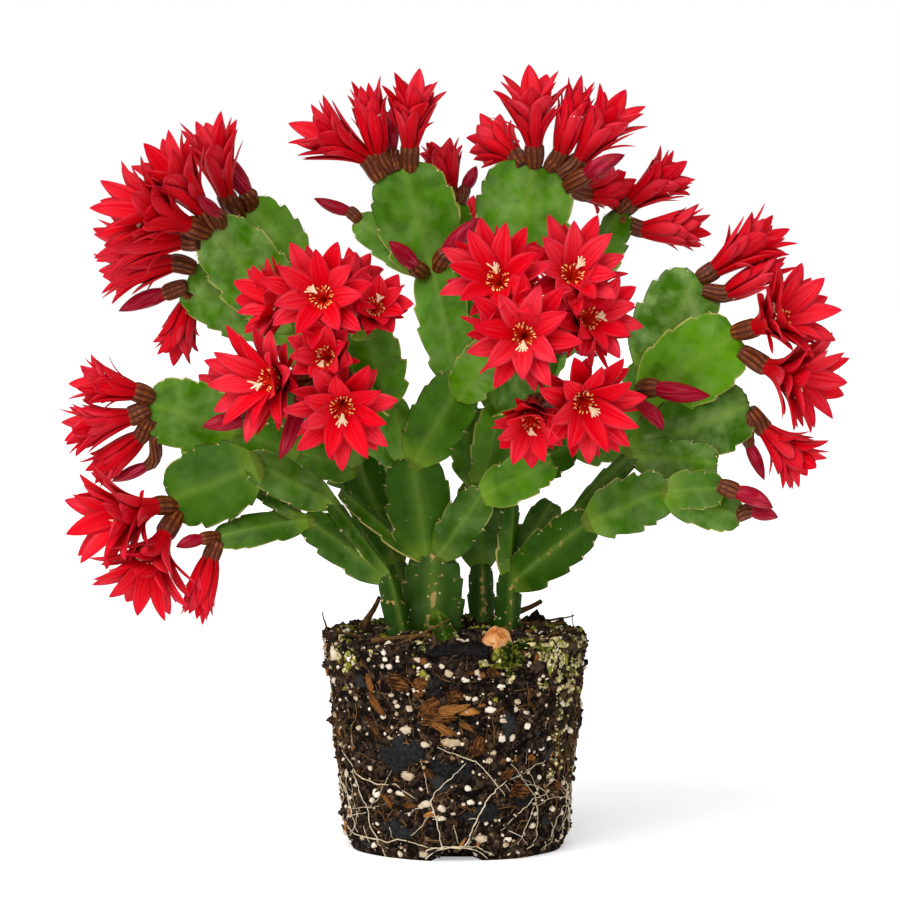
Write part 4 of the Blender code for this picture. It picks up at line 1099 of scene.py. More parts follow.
# %% [markdown]
# ## Tubes
# A flower stands on a short swollen tube, the ovary, brown and ridged like a husk. It grows out
# of the felt at a pad's tip. The outline has nine plates that overlap, and the sweep widens to a
# barrel and turns from the pad's direction to the flower's. The foot is moved to the nearest
# skin of the finished pads and sunk into it, so none hangs in the air.

# %% Ribbed tubes
GAP = 0.3 * MM
TUBE_SINK = 1.5 * MM
TUBE_POINTS = 9
PLATES = 9
# One plate of the outline: how far along it, how far out, and how much of a crest it is
PLATE = ((0.0, 0.84, 0.0), (0.08, 0.93, 0.45), (0.3, 1.0, 0.85), (0.6, 1.03, 1.0), (0.88, 0.99, 0.8))
# Radius along a tube in millimetres
TUBE_BARREL = ((0.0, 3.0), (0.12, 3.7), (0.3, 4.2), (0.5, 4.4), (0.7, 4.45), (0.88, 4.35))
TUBE_BARREL += ((0.97, 4.2), (1.0, 3.4))


def ridged_outline():
    corners, crests = [], []
    for i in range(PLATES):
        for share, reach, crest in PLATE:
            angle = (i + share) * 2 * math.pi / PLATES
            corners.append((math.cos(angle) * reach, math.sin(angle) * reach))
            crests.append(crest)
    return outline_object("outline_ridged", corners, crests)


def skin_of(name):
    """The finished pads of a stem, for finding the nearest place on their skin."""
    bm = bmesh.new()
    bm.from_mesh(PADS[name].data)
    made = BVHTree.FromBMesh(bm)
    bm.free()
    return made


def bent(first, second, third, fourth, count):
    """Points along a smooth bend that leaves first toward second and reaches fourth from third."""
    places = []
    for i in range(count):
        t = i / (count - 1)
        s = 1.0 - t
        places.append(first * s**3 + second * (3 * s * s * t) + third * (3 * s * t * t) + fourth * t**3)
    return places


def tube_path(paths, foot, end, aim, skin, slim, tone):
    """A tube from the pad's skin to its flower, whose radius is that of the barrel times slim."""
    foot, end = skin.find_nearest(place(foot))[0], place(end)
    out = (end - foot).normalized()
    toward = (place(aim) - end).normalized()
    start = foot - out * TUBE_SINK
    last = end + toward * (1.2 * MM)
    reach = (last - start).length * 0.4
    run = bent(start, start + out * reach, last - toward * reach, last, TUBE_POINTS)
    wide = [through(TUBE_BARREL, i / (TUBE_POINTS - 1)) * MM * slim for i in range(TUBE_POINTS)]
    paths.add(run, wide, tone)


RIDGED = ridged_outline()
SKINS = {name: skin_of(name) for name in STEMS}
draw = random.Random(17)
tubes = Paths()
for (_, carrier), flowers in BLOOMS.items():
    for foot, end, aim, spread in flowers:
        slim = 0.86 if spread < 12 else 1.0
        tube_path(tubes, foot, end, aim, SKINS[carrier], slim * draw.uniform(0.95, 1.05), draw.random())
for carrier, rows in BUDS.items():
    for foot, end, aim, radius in rows:
        tube_path(tubes, foot, end, aim, SKINS[carrier], min(1.0, radius / 4.6), draw.random())
flower_tubes = tubes.sweep("flower_tubes", RIDGED, TUBE_HUSK)
print("tubes:", len(tubes.points) // TUBE_POINTS, "faces:", len(flower_tubes.data.polygons))

# %% [markdown]
# ## Buds
# A closed bud is a pointed spindle of petals wrapped round each other, so five shallow seams run
# along it and turn slowly about it. The outline has five lobes, and the facing turns along the
# path to wrap them.

# %% Wrapped buds
BUD_LOBES = 5
BUD_POINTS = 13
BUD_WRAP = 1.1
BUD_SEAM = 0.09
# Radius along a bud, as a share
BUD_WIDTHS = ((0.0, 0.62), (0.1, 0.8), (0.25, 0.96), (0.42, 1.0), (0.6, 0.9), (0.78, 0.64))
BUD_WIDTHS += ((0.9, 0.36), (1.0, 0.05))


def lobed_outline():
    count = BUD_LOBES * 4
    turns = [i * 2 * math.pi / count for i in range(count)]
    seam = [abs(math.cos(a * BUD_LOBES / 2)) ** 6 for a in turns]
    reaches = [1.0 - BUD_SEAM * s for s in seam]
    corners = [(math.cos(a) * reach, math.sin(a) * reach) for a, reach in zip(turns, reaches)]
    return outline_object("outline_lobed", corners, seam)


draw = random.Random(29)
buds = Paths()
for rows in BUDS.values():
    for foot, end, aim, radius in rows:
        end, aim = place(end), place(aim)
        across, _, out = frame_along(aim - end, UPWARD)
        sway = (across * draw.uniform(-1, 1) + out * draw.uniform(-1, 1)) * (aim - end).length * 0.06
        start = draw.random() * 6
        run, wide, facing = [], [], []
        for i in range(BUD_POINTS):
            share = i / (BUD_POINTS - 1)
            run.append(end.lerp(aim, share) + sway * math.sin(math.pi * i / (BUD_POINTS - 1)))
            wide.append(through(BUD_WIDTHS, share) * radius * MM)
            facing.append(turned(across, out, start + BUD_WRAP * i / (BUD_POINTS - 1)))
        buds.add(run, wide, draw.random(), facing)
buds.sweep("buds", lobed_outline(), BUD_SKIN)
print("buds:", len(buds.points) // BUD_POINTS)

# %% [markdown]
# ## Petals
# An open flower has two rings of pointed petals, a third ring that is shorter and sits lower,
# and a few narrow ones behind them. Each petal rises from the tube, arches outward and ends in a
# point, a little cupped across. Cloth or a subdivided card could give one petal, but some 1,250
# of them have to follow the same few numbers: where it starts, how far it reaches and how wide
# it is. So each is a swept lens.
#
# The solids have the petals of the first two rings. Where flowers crowd, a solid petal was bent
# clear of its neighbour in one of twelve ways. The tips of the solids tell which way each one
# went, so that the fine petals go the same way.

# %% The course of a petal
FUNNEL_RADII = (2.3 * MM, 4.1 * MM, 3.5 * MM)
FUNNEL_LEVELS = (0.0, 0.25, 0.36)
PETAL_BENDS = [(close, swing) for close in (1.0, 0.75, 0.5, 0.25) for swing in (0.0, 0.25, -0.25)]
PETAL_STATIONS = (0.0, 0.09, 0.18, 0.28, 0.38, 0.48, 0.58, 0.67, 0.76, 0.84, 0.91, 0.96, 1.0)
PETAL_WIDTHS = ((0.0, 0.46), (0.12, 0.64), (0.25, 0.84), (0.38, 0.95), (0.5, 1.0), (0.6, 1.0))
PETAL_WIDTHS += ((0.7, 0.93), (0.8, 0.76), (0.9, 0.46), (0.96, 0.23), (1.0, 0.02))
PETAL_OUTLINE = (-1.0, -0.62, -0.25, 0.0, 0.25, 0.62, 1.0, 0.62, 0.25, 0.0, -0.25, -0.62)
PETAL_CUP = 0.3
PETAL_HALF = 0.075
PETAL_GROOVE = 0.05


def lens_outline():
    """A thin lens with raised edges, a groove along the middle of its upper face, a keel below."""
    corners = []
    for i, x in enumerate(PETAL_OUTLINE):
        side = -1 if i < 7 else 1
        thick = PETAL_HALF * math.sqrt(1.0 - x * x) - (PETAL_GROOVE if i == 9 else 0.0)
        corners.append((x, PETAL_CUP * x * x + side * thick - (PETAL_GROOVE if i == 3 else 0.0)))
    return outline_object("outline_petal", corners, PETAL_OUTLINE)


def through_places(places, shares):
    """Points on the smooth curve through four places, at shares of its length."""
    knots = [0.0]
    for one, other in zip(places, places[1:]):
        knots.append(knots[-1] + (other - one).length)
    knots = [knot / knots[-1] for knot in knots]
    run = []
    for share in shares:
        spot = Vector()
        for i, here in enumerate(places):
            weight = 1.0
            for j, knot in enumerate(knots):
                if j != i:
                    weight *= (share - knot) / (knots[i] - knot)
            spot += here * weight
        run.append(spot)
    return run


def petal(paths, places, along, way, half, curl, draw):
    """Adds one petal through four places, from the tube to its point."""
    run = through_places(places, PETAL_STATIONS)
    across = along.cross(way).normalized()
    sway, twist = draw.uniform(-0.7, 0.7) * MM, draw.uniform(-0.35, 0.35)
    facing = []
    for i, share in enumerate(PETAL_STATIONS):
        run[i] = run[i] + across * (sway * math.sin(math.pi * share))
        run[i] = run[i] - along * (curl * max(0.0, (share - 0.55) / 0.45) ** 2)
        facing.append(across + along * (twist * share))
    wide = [max(0.03 * MM, half * through(PETAL_WIDTHS, share)) for share in PETAL_STATIONS]
    paths.add(run, wide, draw.random(), facing)


LENS = lens_outline()
print("a petal has", len(PETAL_STATIONS) * len(PETAL_OUTLINE), "points")

# %% [markdown]
# The same random draws as in the solids give each flower its turn and each petal its stray and
# length. What only the fine petals have, such as curl and twist, draws from a second source, so
# that it doesn't disturb the first.

# %% Grow the petals
PETAL_MOST = 11.2 * MM
PETAL_SHARE = 0.88
NARROW_PETALS = 5
# Reach and lift of the outer and inner ring, as in the solids, and of the fine petals
SOLID_RINGS = ((1.0, 0.92), (0.60, 1.10))
FINE_RINGS = ((1.0, 0.92), (0.80, 1.06))
# A third ring, shorter and lower, wraps the outside of the funnel, and narrow petals show between
# the others. How far out and how low their feet are, how far out their shoulders, how high they arch
THIRD_RING = (3.5 * MM, 1.4 * MM, 5.3 * MM, 1.0 * MM)
NARROW_RING = (3.6 * MM, 0.5 * MM, 4.8 * MM, 0.8 * MM)
WIDE_BLOOM = 18


def solids_of(bunch):
    """The solids of a bunch: the one with its name, and those with a number after it."""
    nodes = [node for node in frame["nodes"] if node == bunch or node.startswith(bunch + "_")]
    return [node for node in nodes if node == bunch or node[len(bunch) + 1 :].isdigit()]


def tips_of(bunch):
    """A search tree over the corners of a bunch's solids."""
    things = [frame["nodes"][node] for node in solids_of(bunch)]
    spots = [thing.matrix_world @ vert.co for thing in things for vert in thing.data.vertices]
    made = KDTree(len(spots))
    for i, spot in enumerate(spots):
        made.insert(spot, i)
    made.balance()
    return made


def flower_frame(end, aim):
    across, along, out = frame_along(place(aim) - place(end), UPWARD)
    return across, along, out, place(end) + along * GAP, (place(aim) - place(end)).length


def open_flower(paths, row, seed, tips):
    """Adds a flower's rings of petals, and says how many of them follow a solid one."""
    _, end, aim, spread = row
    draw, whim = random.Random(seed), random.Random(1000 + seed)
    across, along, out, centre, height = flower_frame(end, aim)
    broad = spread >= WIDE_BLOOM
    count = 7 if broad else 6
    turn = draw.random()
    found = 0

    def corner(level, i):
        way = turned(across, out, (i + turn + level / 2) * 2 * math.pi / count)
        return centre + along * (height * FUNNEL_LEVELS[level]) + way * FUNNEL_RADII[level]

    for layer, (reach, lift) in enumerate(SOLID_RINGS):
        for i in range(count):
            outward = corner(layer, i + 1) - centre
            outward = (outward - along * outward.dot(along)).normalized()
            stray = draw.uniform(-0.12, 0.12)
            outward = (outward + along.cross(outward) * stray).normalized()
            length = draw.uniform(0.94, 1.06)
            way, narrow = outward, 1.0
            for close, swing in PETAL_BENDS:
                bend = (outward + along.cross(outward) * swing).normalized()
                tip = centre + along * (lift * height * length)
                tip += bend * (reach * spread * MM * length * close)
                if tips.find(tip)[2] < 0.02 * MM:
                    way, narrow = bend, close
                    found += 1
                    break
            fine_reach, fine_lift = FINE_RINGS[layer]
            span = max(fine_reach * spread * narrow, 5.0) * MM * length
            tip = centre + along * (fine_lift * height * length) + way * span
            root = (corner(layer + 1, i) + corner(layer + 1, i + 1)) / 2
            middle = root.lerp(tip, 0.45) + along * ((tip - root).length * 0.10)
            span = (middle - centre - along * (middle - centre).dot(along)).length
            half = 2 * span * math.tan(math.pi / count) * (1.5 if broad else 1.25)
            half = min(PETAL_MOST, half) / 2 * PETAL_SHARE
            base = centre + way * ((3.1 - 0.9 * layer) * MM) + along * (0.4 * MM * layer)
            curl = whim.uniform(0.0, 2.2 - layer) * MM
            petal(paths, (base, root, middle, tip), along, way, half, curl, whim)

    def outer_petal(way, tip, ring, half, curl):
        foot, sink, shoulder, arch = ring
        base = centre + way * foot - along * sink
        root = centre + way * shoulder + along * (height * 0.2)
        middle = root.lerp(tip, 0.5) + along * arch
        petal(paths, (base, root, middle, tip), along, way, half, curl, whim)

    for i in range(count):
        way = turned(across, out, (i + turn + 0.25 + whim.uniform(-0.1, 0.1)) * 2 * math.pi / count)
        tip = centre + way * (max(spread, 6.5) * whim.uniform(0.78, 0.98) * MM)
        tip = tip + along * (height * whim.uniform(0.68, 0.86))
        half = (3.9 if broad else 3.2) * whim.uniform(0.85, 1.1) * MM
        outer_petal(way, tip, THIRD_RING, half, whim.uniform(0.0, 1.5) * MM)
    for i in range(NARROW_PETALS):
        way = turned(across, out, (i + turn * 2 + whim.uniform(-0.2, 0.2)) * 2 * math.pi / NARROW_PETALS)
        reach, lift = spread * MM * whim.uniform(0.8, 1.15), height * whim.uniform(0.5, 0.84)
        tip = centre + way * max(reach, 6 * MM) + along * lift
        half = whim.uniform(1.3, 2.4) * MM
        outer_petal(way, tip, NARROW_RING, half, whim.uniform(0.5, 2.5) * MM)
    return found


petal_pieces = {}
seed, matched = 0, 0
for (bunch, _), rows in BLOOMS.items():
    paths, tips = Paths(), tips_of(bunch)
    for row in rows:
        seed += 1
        matched += open_flower(paths, row, seed, tips)
    petal_pieces[bunch] = paths.sweep(bunch.replace("blooms", "petals"), LENS, PETAL_SATIN)
print("flowers:", seed, "petals that follow a solid one:", matched)

# %% [markdown]
# ## Stamens and stigma
# In the throat stands a loose ring of thirty-six red filaments with yellow anthers, and a style
# that leans out of it and opens into a fan of pale lobes. Filaments and lobes are sweeps with a
# six-sided outline, and the anthers are copies of a bean.

# %% Stamens and stigma
STAMENS = 36
# How far out the anthers stand in millimetres, and how high as a share of the flower
STAMEN_RINGS = ((3.5, 0.43), (4.9, 0.5), (4.3, 0.47), (4.9, 0.5))
STIGMA_LOBES = 5
STIGMA_FAN = 0.56
FILAMENT_WIDTHS = [0.19 * MM] * 6 + [0.16 * MM]
STYLE_WIDTHS = [0.4 * MM] * 7
LOBE_WIDTHS = [0.55 * MM, 0.46 * MM, 0.42 * MM, 0.46 * MM, 0.32 * MM]
# A low red cushion closes the throat, where the filaments stand: its levels and radii
THROAT = ((-0.6, 2.4 * MM), (0.3, 2.3 * MM), (0.9, 1.3 * MM), (1.1, 0.1 * MM))
# Which way the style leans in the flowers that face the camera, by the middle of their petal tips
LEANS = {
    (-58, -88, 245): (-0.8, 0.6), (-32, -78, 241): (0.4, 0.9), (-57, -90, 220): (-0.3, -0.9),
    (-88, -82, 207): (-1.0, -0.4), (-47, -94, 193): (0.0, -1.0), (15, -86, 254): (-0.2, 1.0),
    (50, -80, 257): (0.7, 0.8), (27, -96, 228): (0.0, -1.0), (61, -80, 236): (1.0, 0.2),
    (57, -90, 195): (0.8, -0.8), (30, -84, 184): (0.1, -1.0),
}
filaments, lobes, anther_rows = Paths(), Paths(), []
draw = random.Random(53)
for rows in BLOOMS.values():
    for _, end, aim, spread in rows:
        across, along, out, centre, height = flower_frame(end, aim)
        small = min(1.0, 0.45 + spread / 36)
        for i in range(STAMENS):
            way = turned(across, out, (i + draw.uniform(-0.3, 0.3)) * 2 * math.pi / STAMENS)
            reach, level = STAMEN_RINGS[i % len(STAMEN_RINGS)]
            reach *= draw.uniform(0.93, 1.07) * small * MM
            lift = height * (level + draw.uniform(-0.05, 0.05))
            top = centre + along * lift + way * reach
            low = centre + way * ((0.5 + 0.35 * (i % 4)) * MM)
            splay = way * (1.8 * MM) + along * (0.5 * MM)
            run = bent(low, low + along * (height * 0.36), top - splay, top, 7)
            filaments.add(run, FILAMENT_WIDTHS, draw.random())
            lean = Vector([draw.uniform(-0.5, 0.5) for _ in range(3)])
            spin = (way + along * 0.45 + lean * 0.6).to_track_quat("Z", "Y").to_euler()
            size = draw.uniform(0.7, 1.0) * MM
            anther_rows.append((top, spin, (size, size, size), draw.random()))
        cushion_run = [centre + along * (level * MM) for level, _ in THROAT]
        filaments.add(cushion_run, [radius for _, radius in THROAT], 0.0)
        lean = across * draw.uniform(-1, 1) + out * draw.uniform(-1, 1)
        if aim in LEANS:
            lean = Vector((LEANS[aim][0], 0.0, LEANS[aim][1]))
        lean = (lean - along * lean.dot(along)).normalized()
        neck = centre + along * (height * 0.54) + lean * (2.6 * small * MM)
        pointing = (lean + along * 0.42).normalized()
        side, _, up = frame_along(pointing, along)
        low = centre + lean * (1.2 * MM)
        run = bent(low, low + along * (height * 0.4), neck - along * (height * 0.12), neck, 7)
        filaments.add(run, STYLE_WIDTHS, 0.3)
        for i in range(STIGMA_LOBES):
            fan = STIGMA_FAN * (2 * i / (STIGMA_LOBES - 1) - 1)
            way = side * math.sin(fan) + pointing * math.cos(fan) + up * draw.uniform(-0.16, 0.22)
            reach = draw.uniform(6.3, 7.6) * small * MM
            tip = neck + way * reach
            run = bent(neck, neck + pointing * (reach * 0.3), tip - way * (reach * 0.4), tip, 5)
            lobes.add(run, LOBE_WIDTHS, draw.random())
filaments.sweep("filaments", ROUND, FILAMENT)
lobes.sweep("stigmas", ROUND, STIGMA)
copies("anthers", anther_rows, BEANS, ANTHER)
print("anthers:", len(anther_rows))

# %% [markdown]
# ## The root ball
# Peat that has stood in a pot keeps the pot's taper, and its surface is crumbly. A remeshed and
# displaced cone would do, but the foot, the notch in the underside and the rim have to sit at
# known heights, so the ball is a grid of points on rings: up the side, over the rim and in
# across the top. Three sizes of noise push the points: slow hollows, lumps and crumbs. The same
# slow noise shapes the solid, so the two stay together.

# %% The shape of the root ball
BALL_TOP, BALL_BASE, BALL_HEIGHT = 57.0 * MM, 47.5 * MM, 93.0 * MM
BALL_STEP_HEIGHT, BALL_STEP_DEPTH = 5.0 * MM, 1.6 * MM
BALL_ROUGH, BALL_CROWN = 1.3 * MM, 3.0 * MM
NOTCH_SIDE, NOTCH_DEEP, NOTCH_TALL = 10.5 * MM, 14.0 * MM, 5.0 * MM
BALL_COLUMNS = 300
STEP_ROWS = 8
SIDE_ROWS = 76
TOP_RINGS = 36


def crumbs(spot):
    """How far the crumbs stand out there."""
    lump = noise.noise(spot * 160) * 0.9 + noise.noise(spot * 420) * 0.75
    return (lump + abs(noise.noise(spot * 900)) * 0.55) * MM


def ball_radius(height, angle):
    """Radius of the root ball at a height, without its crumbs."""
    share = height / BALL_HEIGHT
    where = Vector((math.cos(angle), math.sin(angle), share * 2.0)) * 2.3
    reach = BALL_BASE + (BALL_TOP - BALL_BASE) * share + BALL_ROUGH * noise.noise(where)
    if height < BALL_STEP_HEIGHT:
        reach -= BALL_STEP_DEPTH
        x, y = reach * math.cos(angle), reach * math.sin(angle)
        arch = NOTCH_TALL * (1.0 - (x / NOTCH_SIDE) ** 4)
        if y < NOTCH_DEEP - BALL_BASE and height < arch:
            reach *= (NOTCH_DEEP - BALL_BASE) / y
    return reach


def ball_top(x, y):
    """Height of the top of the soil there, without its crumbs."""
    out = min(1.0, math.hypot(x, y) / BALL_TOP)
    bumps = noise.noise(Vector((x, y, 0.0)) * 90.0)
    return BALL_HEIGHT + BALL_CROWN * (1.0 - out * out) + BALL_ROUGH * bumps


def ball_side(height, angle, proud=0.0):
    """A place on the side of the ball, with crumbs, that far proud of it."""
    reach = ball_radius(height, angle)
    spot = Vector((reach * math.cos(angle), reach * math.sin(angle), height))
    away = Vector((math.cos(angle), math.sin(angle), 0.0))
    return spot + away * (crumbs(spot) * min(1.0, height / (3 * MM)) + proud)


def soil_surface():
    turns = [i * 2 * math.pi / BALL_COLUMNS for i in range(BALL_COLUMNS)]
    heights = [BALL_STEP_HEIGHT * i / STEP_ROWS for i in range(STEP_ROWS)] + [BALL_STEP_HEIGHT * 0.97]
    side = BALL_HEIGHT - BALL_STEP_HEIGHT
    heights += [BALL_STEP_HEIGHT + side * i / SIDE_ROWS for i in range(SIDE_ROWS + 1)]
    points = [ball_side(height, angle) for height in heights for angle in turns]
    for k in range(1, TOP_RINGS):
        for angle in turns:
            reach = ball_radius(BALL_HEIGHT, angle) * (1.0 - k / TOP_RINGS)
            x, y = reach * math.cos(angle), reach * math.sin(angle)
            spot = Vector((x, y, ball_top(x, y)))
            points.append(spot + Vector((0.0, 0.0, crumbs(spot) * 1.2)))
    faces = list(ring_faces(0, len(points) // BALL_COLUMNS, BALL_COLUMNS))
    last = len(points) - BALL_COLUMNS
    points += [Vector((0.0, 0.0, 0.0)), Vector((0.0, 0.0, ball_top(0.0, 0.0)))]
    for i in range(BALL_COLUMNS):
        j = (i + 1) % BALL_COLUMNS
        faces.append((j, i, len(points) - 2))
        faces.append((last + i, last + j, len(points) - 1))
    return points, faces


# Grains laid one by one where the photograph has them, on the front of the ball. Each row has the
# place across and up, as seen from the front, and half the width and half the height
BLACK_LUMPS = (
    (-24, 47, 9.4, 8.2), (-27, 46, 6.5, 6.5), (-20, 49, 6.0, 6.5), (-3, 40, 8.7, 5.4),
    (23, 59, 3.8, 5.9), (-26, 15, 9.0, 5.3), (9, 21, 7.9, 4.5), (-11, 77, 4.1, 3.4),
    (-41, 76, 3.4, 3.8), (-7, 35, 4.5, 3.8), (28, 27, 4.5, 4.5),
)
# Bark also has the angle that its right end is lifted by, and how pale it is
BARK_FLAKES = (
    (-11, 67, 5.3, 2.9, 40, 0.14), (-1, 66.5, 6.6, 2.3, 12, 0.62), (-8.5, 59.5, 8.0, 1.7, -28, 0.5),
    (4, 59, 3.8, 1.2, -30, 0.39), (-4, 57, 4.7, 1.1, -20, 0.22), (-36, 76, 3.9, 1.7, -65, 0.41),
    (-34, 67, 5.9, 1.8, -48, 0.28), (-35, 57, 6.0, 1.4, -42, 0.11), (-30, 26, 4.7, 1.2, -45, 0.33),
    (-24, 77, 4.7, 4.1, 0, 0.04), (-15, 77, 3.4, 2.7, 20, 0.19), (-16, 73, 2.6, 2.0, 0, 0.22),
    (9, 50, 4.7, 2.7, 70, 0.07), (-1, 72, 4.1, 3.0, 0, 0.03), (32, 44, 1.8, 1.4, 0, 0.52),
    (35, 88, 3.4, 1.4, 55, 0.44), (27, 90, 2.9, 1.7, 0, 0.41), (-14, 87, 1.5, 1.4, 0, 0.5),
    (31, 71, 4.5, 0.9, 80, 0.14), (27, 30, 4.1, 3.8, 0, 0.04), (43, 30, 2.3, 2.1, 0, 0.19),
    (-26, 35, 1.2, 1.1, 0, 0.39), (-20, 24, 3.4, 1.1, 0, 0.22), (11, 81, 1.4, 1.4, 0, 0.44),
    (33, 65, 3.0, 0.8, -60, 0.22), (-12, 38, 3.0, 1.5, -40, 0.06), (22, 38, 3.8, 2.0, 30, 0.06),
    (-41, 36, 2.3, 1.2, 50, 0.08), (6, 82, 2.6, 1.1, 0, 0.07), (16, 82, 3.0, 1.7, -20, 0.06),
)
WHITE_GRAINS = (
    (-21, 57, 2.5, 2.0), (-2, 52, 4.1, 2.7), (-21, 37, 2.9, 2.6), (-12, 85, 1.5, 1.5),
    (4, 79, 1.7, 1.4), (11, 10, 2.6, 2.1), (22, 9, 2.0, 1.8), (-14, 3, 2.0, 1.8), (-24, 29, 2.1, 1.8),
    (6, 26, 1.5, 1.4), (-6, 19, 1.7, 1.2), (5, 71, 1.2, 1.2), (15, 66, 2.6, 1.7), (20, 61, 1.5, 1.5),
    (5, 65, 1.4, 1.1), (-31, 62, 1.5, 1.5), (-20, 66, 1.5, 1.7), (-25, 67, 1.2, 1.1),
    (-28, 53, 1.8, 1.4), (-13, 51, 2.0, 1.7), (16, 47, 1.4, 1.5), (22, 44, 1.1, 1.1),
    (30, 64, 1.5, 1.2), (26, 69, 1.4, 1.7), (-30, 87, 1.4, 1.2), (-28, 84, 1.5, 1.4),
    (31, 85, 1.4, 2.0), (2, 96, 2.6, 1.5), (-46, 86, 1.7, 2.3), (-44, 84, 1.5, 1.4),
    (-52, 87, 2.7, 4.2), (-47, 97, 2.6, 1.7), (-34, 28, 1.8, 2.1), (-13, 25, 2.3, 2.0),
    (-47, 34, 1.7, 2.1), (-36, 39, 1.5, 1.2), (-17, 74, 1.8, 1.8), (-3, 82, 1.7, 2.0),
    (23, 78, 1.5, 1.4), (19, 76, 2.0, 1.1), (14, 44, 1.5, 1.4), (-45, 74, 1.1, 2.3), (41, 33, 1.7, 1.5),
    (-1, 21, 1.4, 0.9), (5, 32, 1.4, 1.4), (11, 81, 1.4, 1.2), (-6, 85, 1.2, 1.4),
)
MOSSY_LUMPS = (
    (-15, 94, 3.2, 2.7), (21, 88, 5.6, 4.5), (34, 94, 8.3, 3.0), (43, 95, 3.8, 4.5), (48, 96, 4.5, 2.3),
    (53, 93, 3.0, 4.5), (37, 89, 3.0, 3.8), (46, 86, 2.3, 4.5), (50, 80, 3.0, 3.8), (45, 80, 1.8, 1.8),
    (41, 85, 2.3, 5.3), (-47, 95, 2.3, 1.5), (-40, 96, 1.8, 1.4), (-39, 101, 3.0, 1.7),
    (-32, 103, 3.0, 1.7), (-52, 87, 2.3, 3.8), (37, 75, 2.3, 1.4), (23, 78, 1.4, 1.4),
    (12, 86, 2.6, 1.8), (29, 95, 3.0, 1.5), (-45, 86, 2.3, 2.3), (-35, 90, 2.3, 0.9),
)
# A knobbly pale crust runs down the right flank, in heaps of one size
PALE_PLACES = (
    (44, 77), (45, 72), (43, 67), (44, 61), (45, 55), (43, 51), (45, 47), (42, 43), (44, 39), (40, 36),
    (48, 66), (49, 74), (51, 84), (53, 90), (54, 95), (-51, 84), (-53, 89), (-47, 81), (47, 91),
    (40, 91),
)
PALE_HEAPS = tuple((*spot, 2.3, 2.3) for spot in PALE_PLACES)


def near(value, middle, width):
    return math.exp(-(((value - middle) / width) ** 2))


def apart(x, z, row):
    """How far a place on the front is from the middle of a lump: 1 at the lump's edge, squared."""
    return ((x - row[0]) / row[2]) ** 2 + ((z - row[1]) / row[3]) ** 2


def bare(x, y, z):
    """How much may be strewn there, from 0 to 1: hardly anything on a lump or by the stick."""
    on_lump = y < 0 and any(apart(x, z, row) < 0.8 for row in (*BLACK_LUMPS, *BARK_FLAKES))
    # The charred stick lies along the front rim
    near_stick = abs(x - CHARRED_STICK[0][0] - 13) < 15 and abs(y + 54) < 5 and z > 86
    return 0.1 if near_stick else 0.06 if on_lump else 1.0


def soil_numbers(points):
    """Where mosses, chips and the rest are found, as a share for each point of the surface."""
    numbers = {"anywhere": [], "open": [], "mossy": [], "crusty": [], "top": [], "rim": []}
    for spot in points:
        x, y, z = [value / MM for value in spot]
        side = bare(x, y, z) if z > 1.8 else 0.0
        patch = max(0.0, noise.noise(spot * 60) * 1.6 + 0.35)
        rim = 1.0 / (1.0 + math.exp(-(z - 80) / 3.5))
        right = near(x, 47, 12) * near(z, 86, 14) * (y < 20)
        left = near(x, -50, 9) * near(z, 88, 6) * (y < 20)
        numbers["anywhere"].append(side)
        numbers["open"].append(side * max(0.0, noise.noise(spot * 45 + Vector((5, 1, 2))) * 1.5 + 0.6))
        numbers["mossy"].append(side * rim * min(1.0, patch * 0.9))
        numbers["crusty"].append(side * min(1.0, rim * patch * 0.5 + (right * 1.3 + left) * (0.4 + patch)))
        numbers["top"].append(1.0 if z > 92 else 0.0)
        numbers["rim"].append(near(math.hypot(x, y), 55, 4) * (z > 90) * max(0.0, patch))
    return numbers


ground_points, ground_faces = soil_surface()
soil = mesh_object("soil", ground_points, ground_faces, PEAT, **soil_numbers(ground_points))
face_outwards(soil.data)
print("soil:", len(ground_points), "points")

# %% [markdown]
# ## What the peat is mixed with
# Into the peat go perlite, the white puffed grains, with bark chips and charcoal, and between
# them lie crumbs and short fibres. Algae and cushions of moss grow along the rim, where it is
# light and damp. All of them are copies strewn by a density, and the density is read from
# numbers on the soil's own points, so that moss keeps to its rim and chips lie in patches.

# %% Strew the mixture
LIE = 0.35
TUMBLE = math.pi
# Shapes, finish, where, pieces to the square metre, smallest and largest in millimetres, tilt, seed
MIXTURE = {
    "crumbs": (CLODS, CRUMB, "anywhere", 56000, 0.5, 2.1, TUMBLE, 1),
    "perlite": (GRAINS, PERLITE, "anywhere", 24000, 0.25, 1.5, TUMBLE, 2),
    "bark_bits": (SPLINTERS, CHIP, "open", 6500, 1.0, 4.2, LIE, 3),
    "charcoal_bits": (BLOCKS, CHARCOAL, "open", 2600, 0.9, 4.2, LIE, 4),
    "moss": (CUSHIONS, MOSS, "mossy", 42000, 0.5, 2.2, LIE, 5),
    "lichen_crust": (GRAINS, ALGA, "crusty", 42000, 0.4, 1.9, LIE, 6),
    "litter": (SPLINTERS, CRUMB, "top", 16000, 1.5, 5.0, 0.7, 7),
    "perlite_pearls": (GRAINS, PERLITE, "anywhere", 7500, 0.7, 1.7, TUMBLE, 9),
    "rim_clods": (CLODS, CRUMB, "rim", 30000, 1.4, 4.2, TUMBLE, 8),
}
for name, (shapes, finish, where, density, least, most, tilt, seed) in MIXTURE.items():
    values = {"Shapes": shapes, "Finish": finish, "Where": where, "Density": density}
    values |= {"Smallest": least * MM, "Largest": most * MM, "Tilt": tilt, "Seed": seed}
    piece = grow(name, soil.data.copy(), STREWN, values)
    print(name, len(piece.data.polygons), "faces")

# %% [markdown]
# The largest grains are laid one by one, each flat against the side. Lumps of moss and of lichen
# crust are not single lumps but tufts, so each is a heap of smaller ones, most of them pale
# crust with a green one here and there.

# %% Lay the largest grains


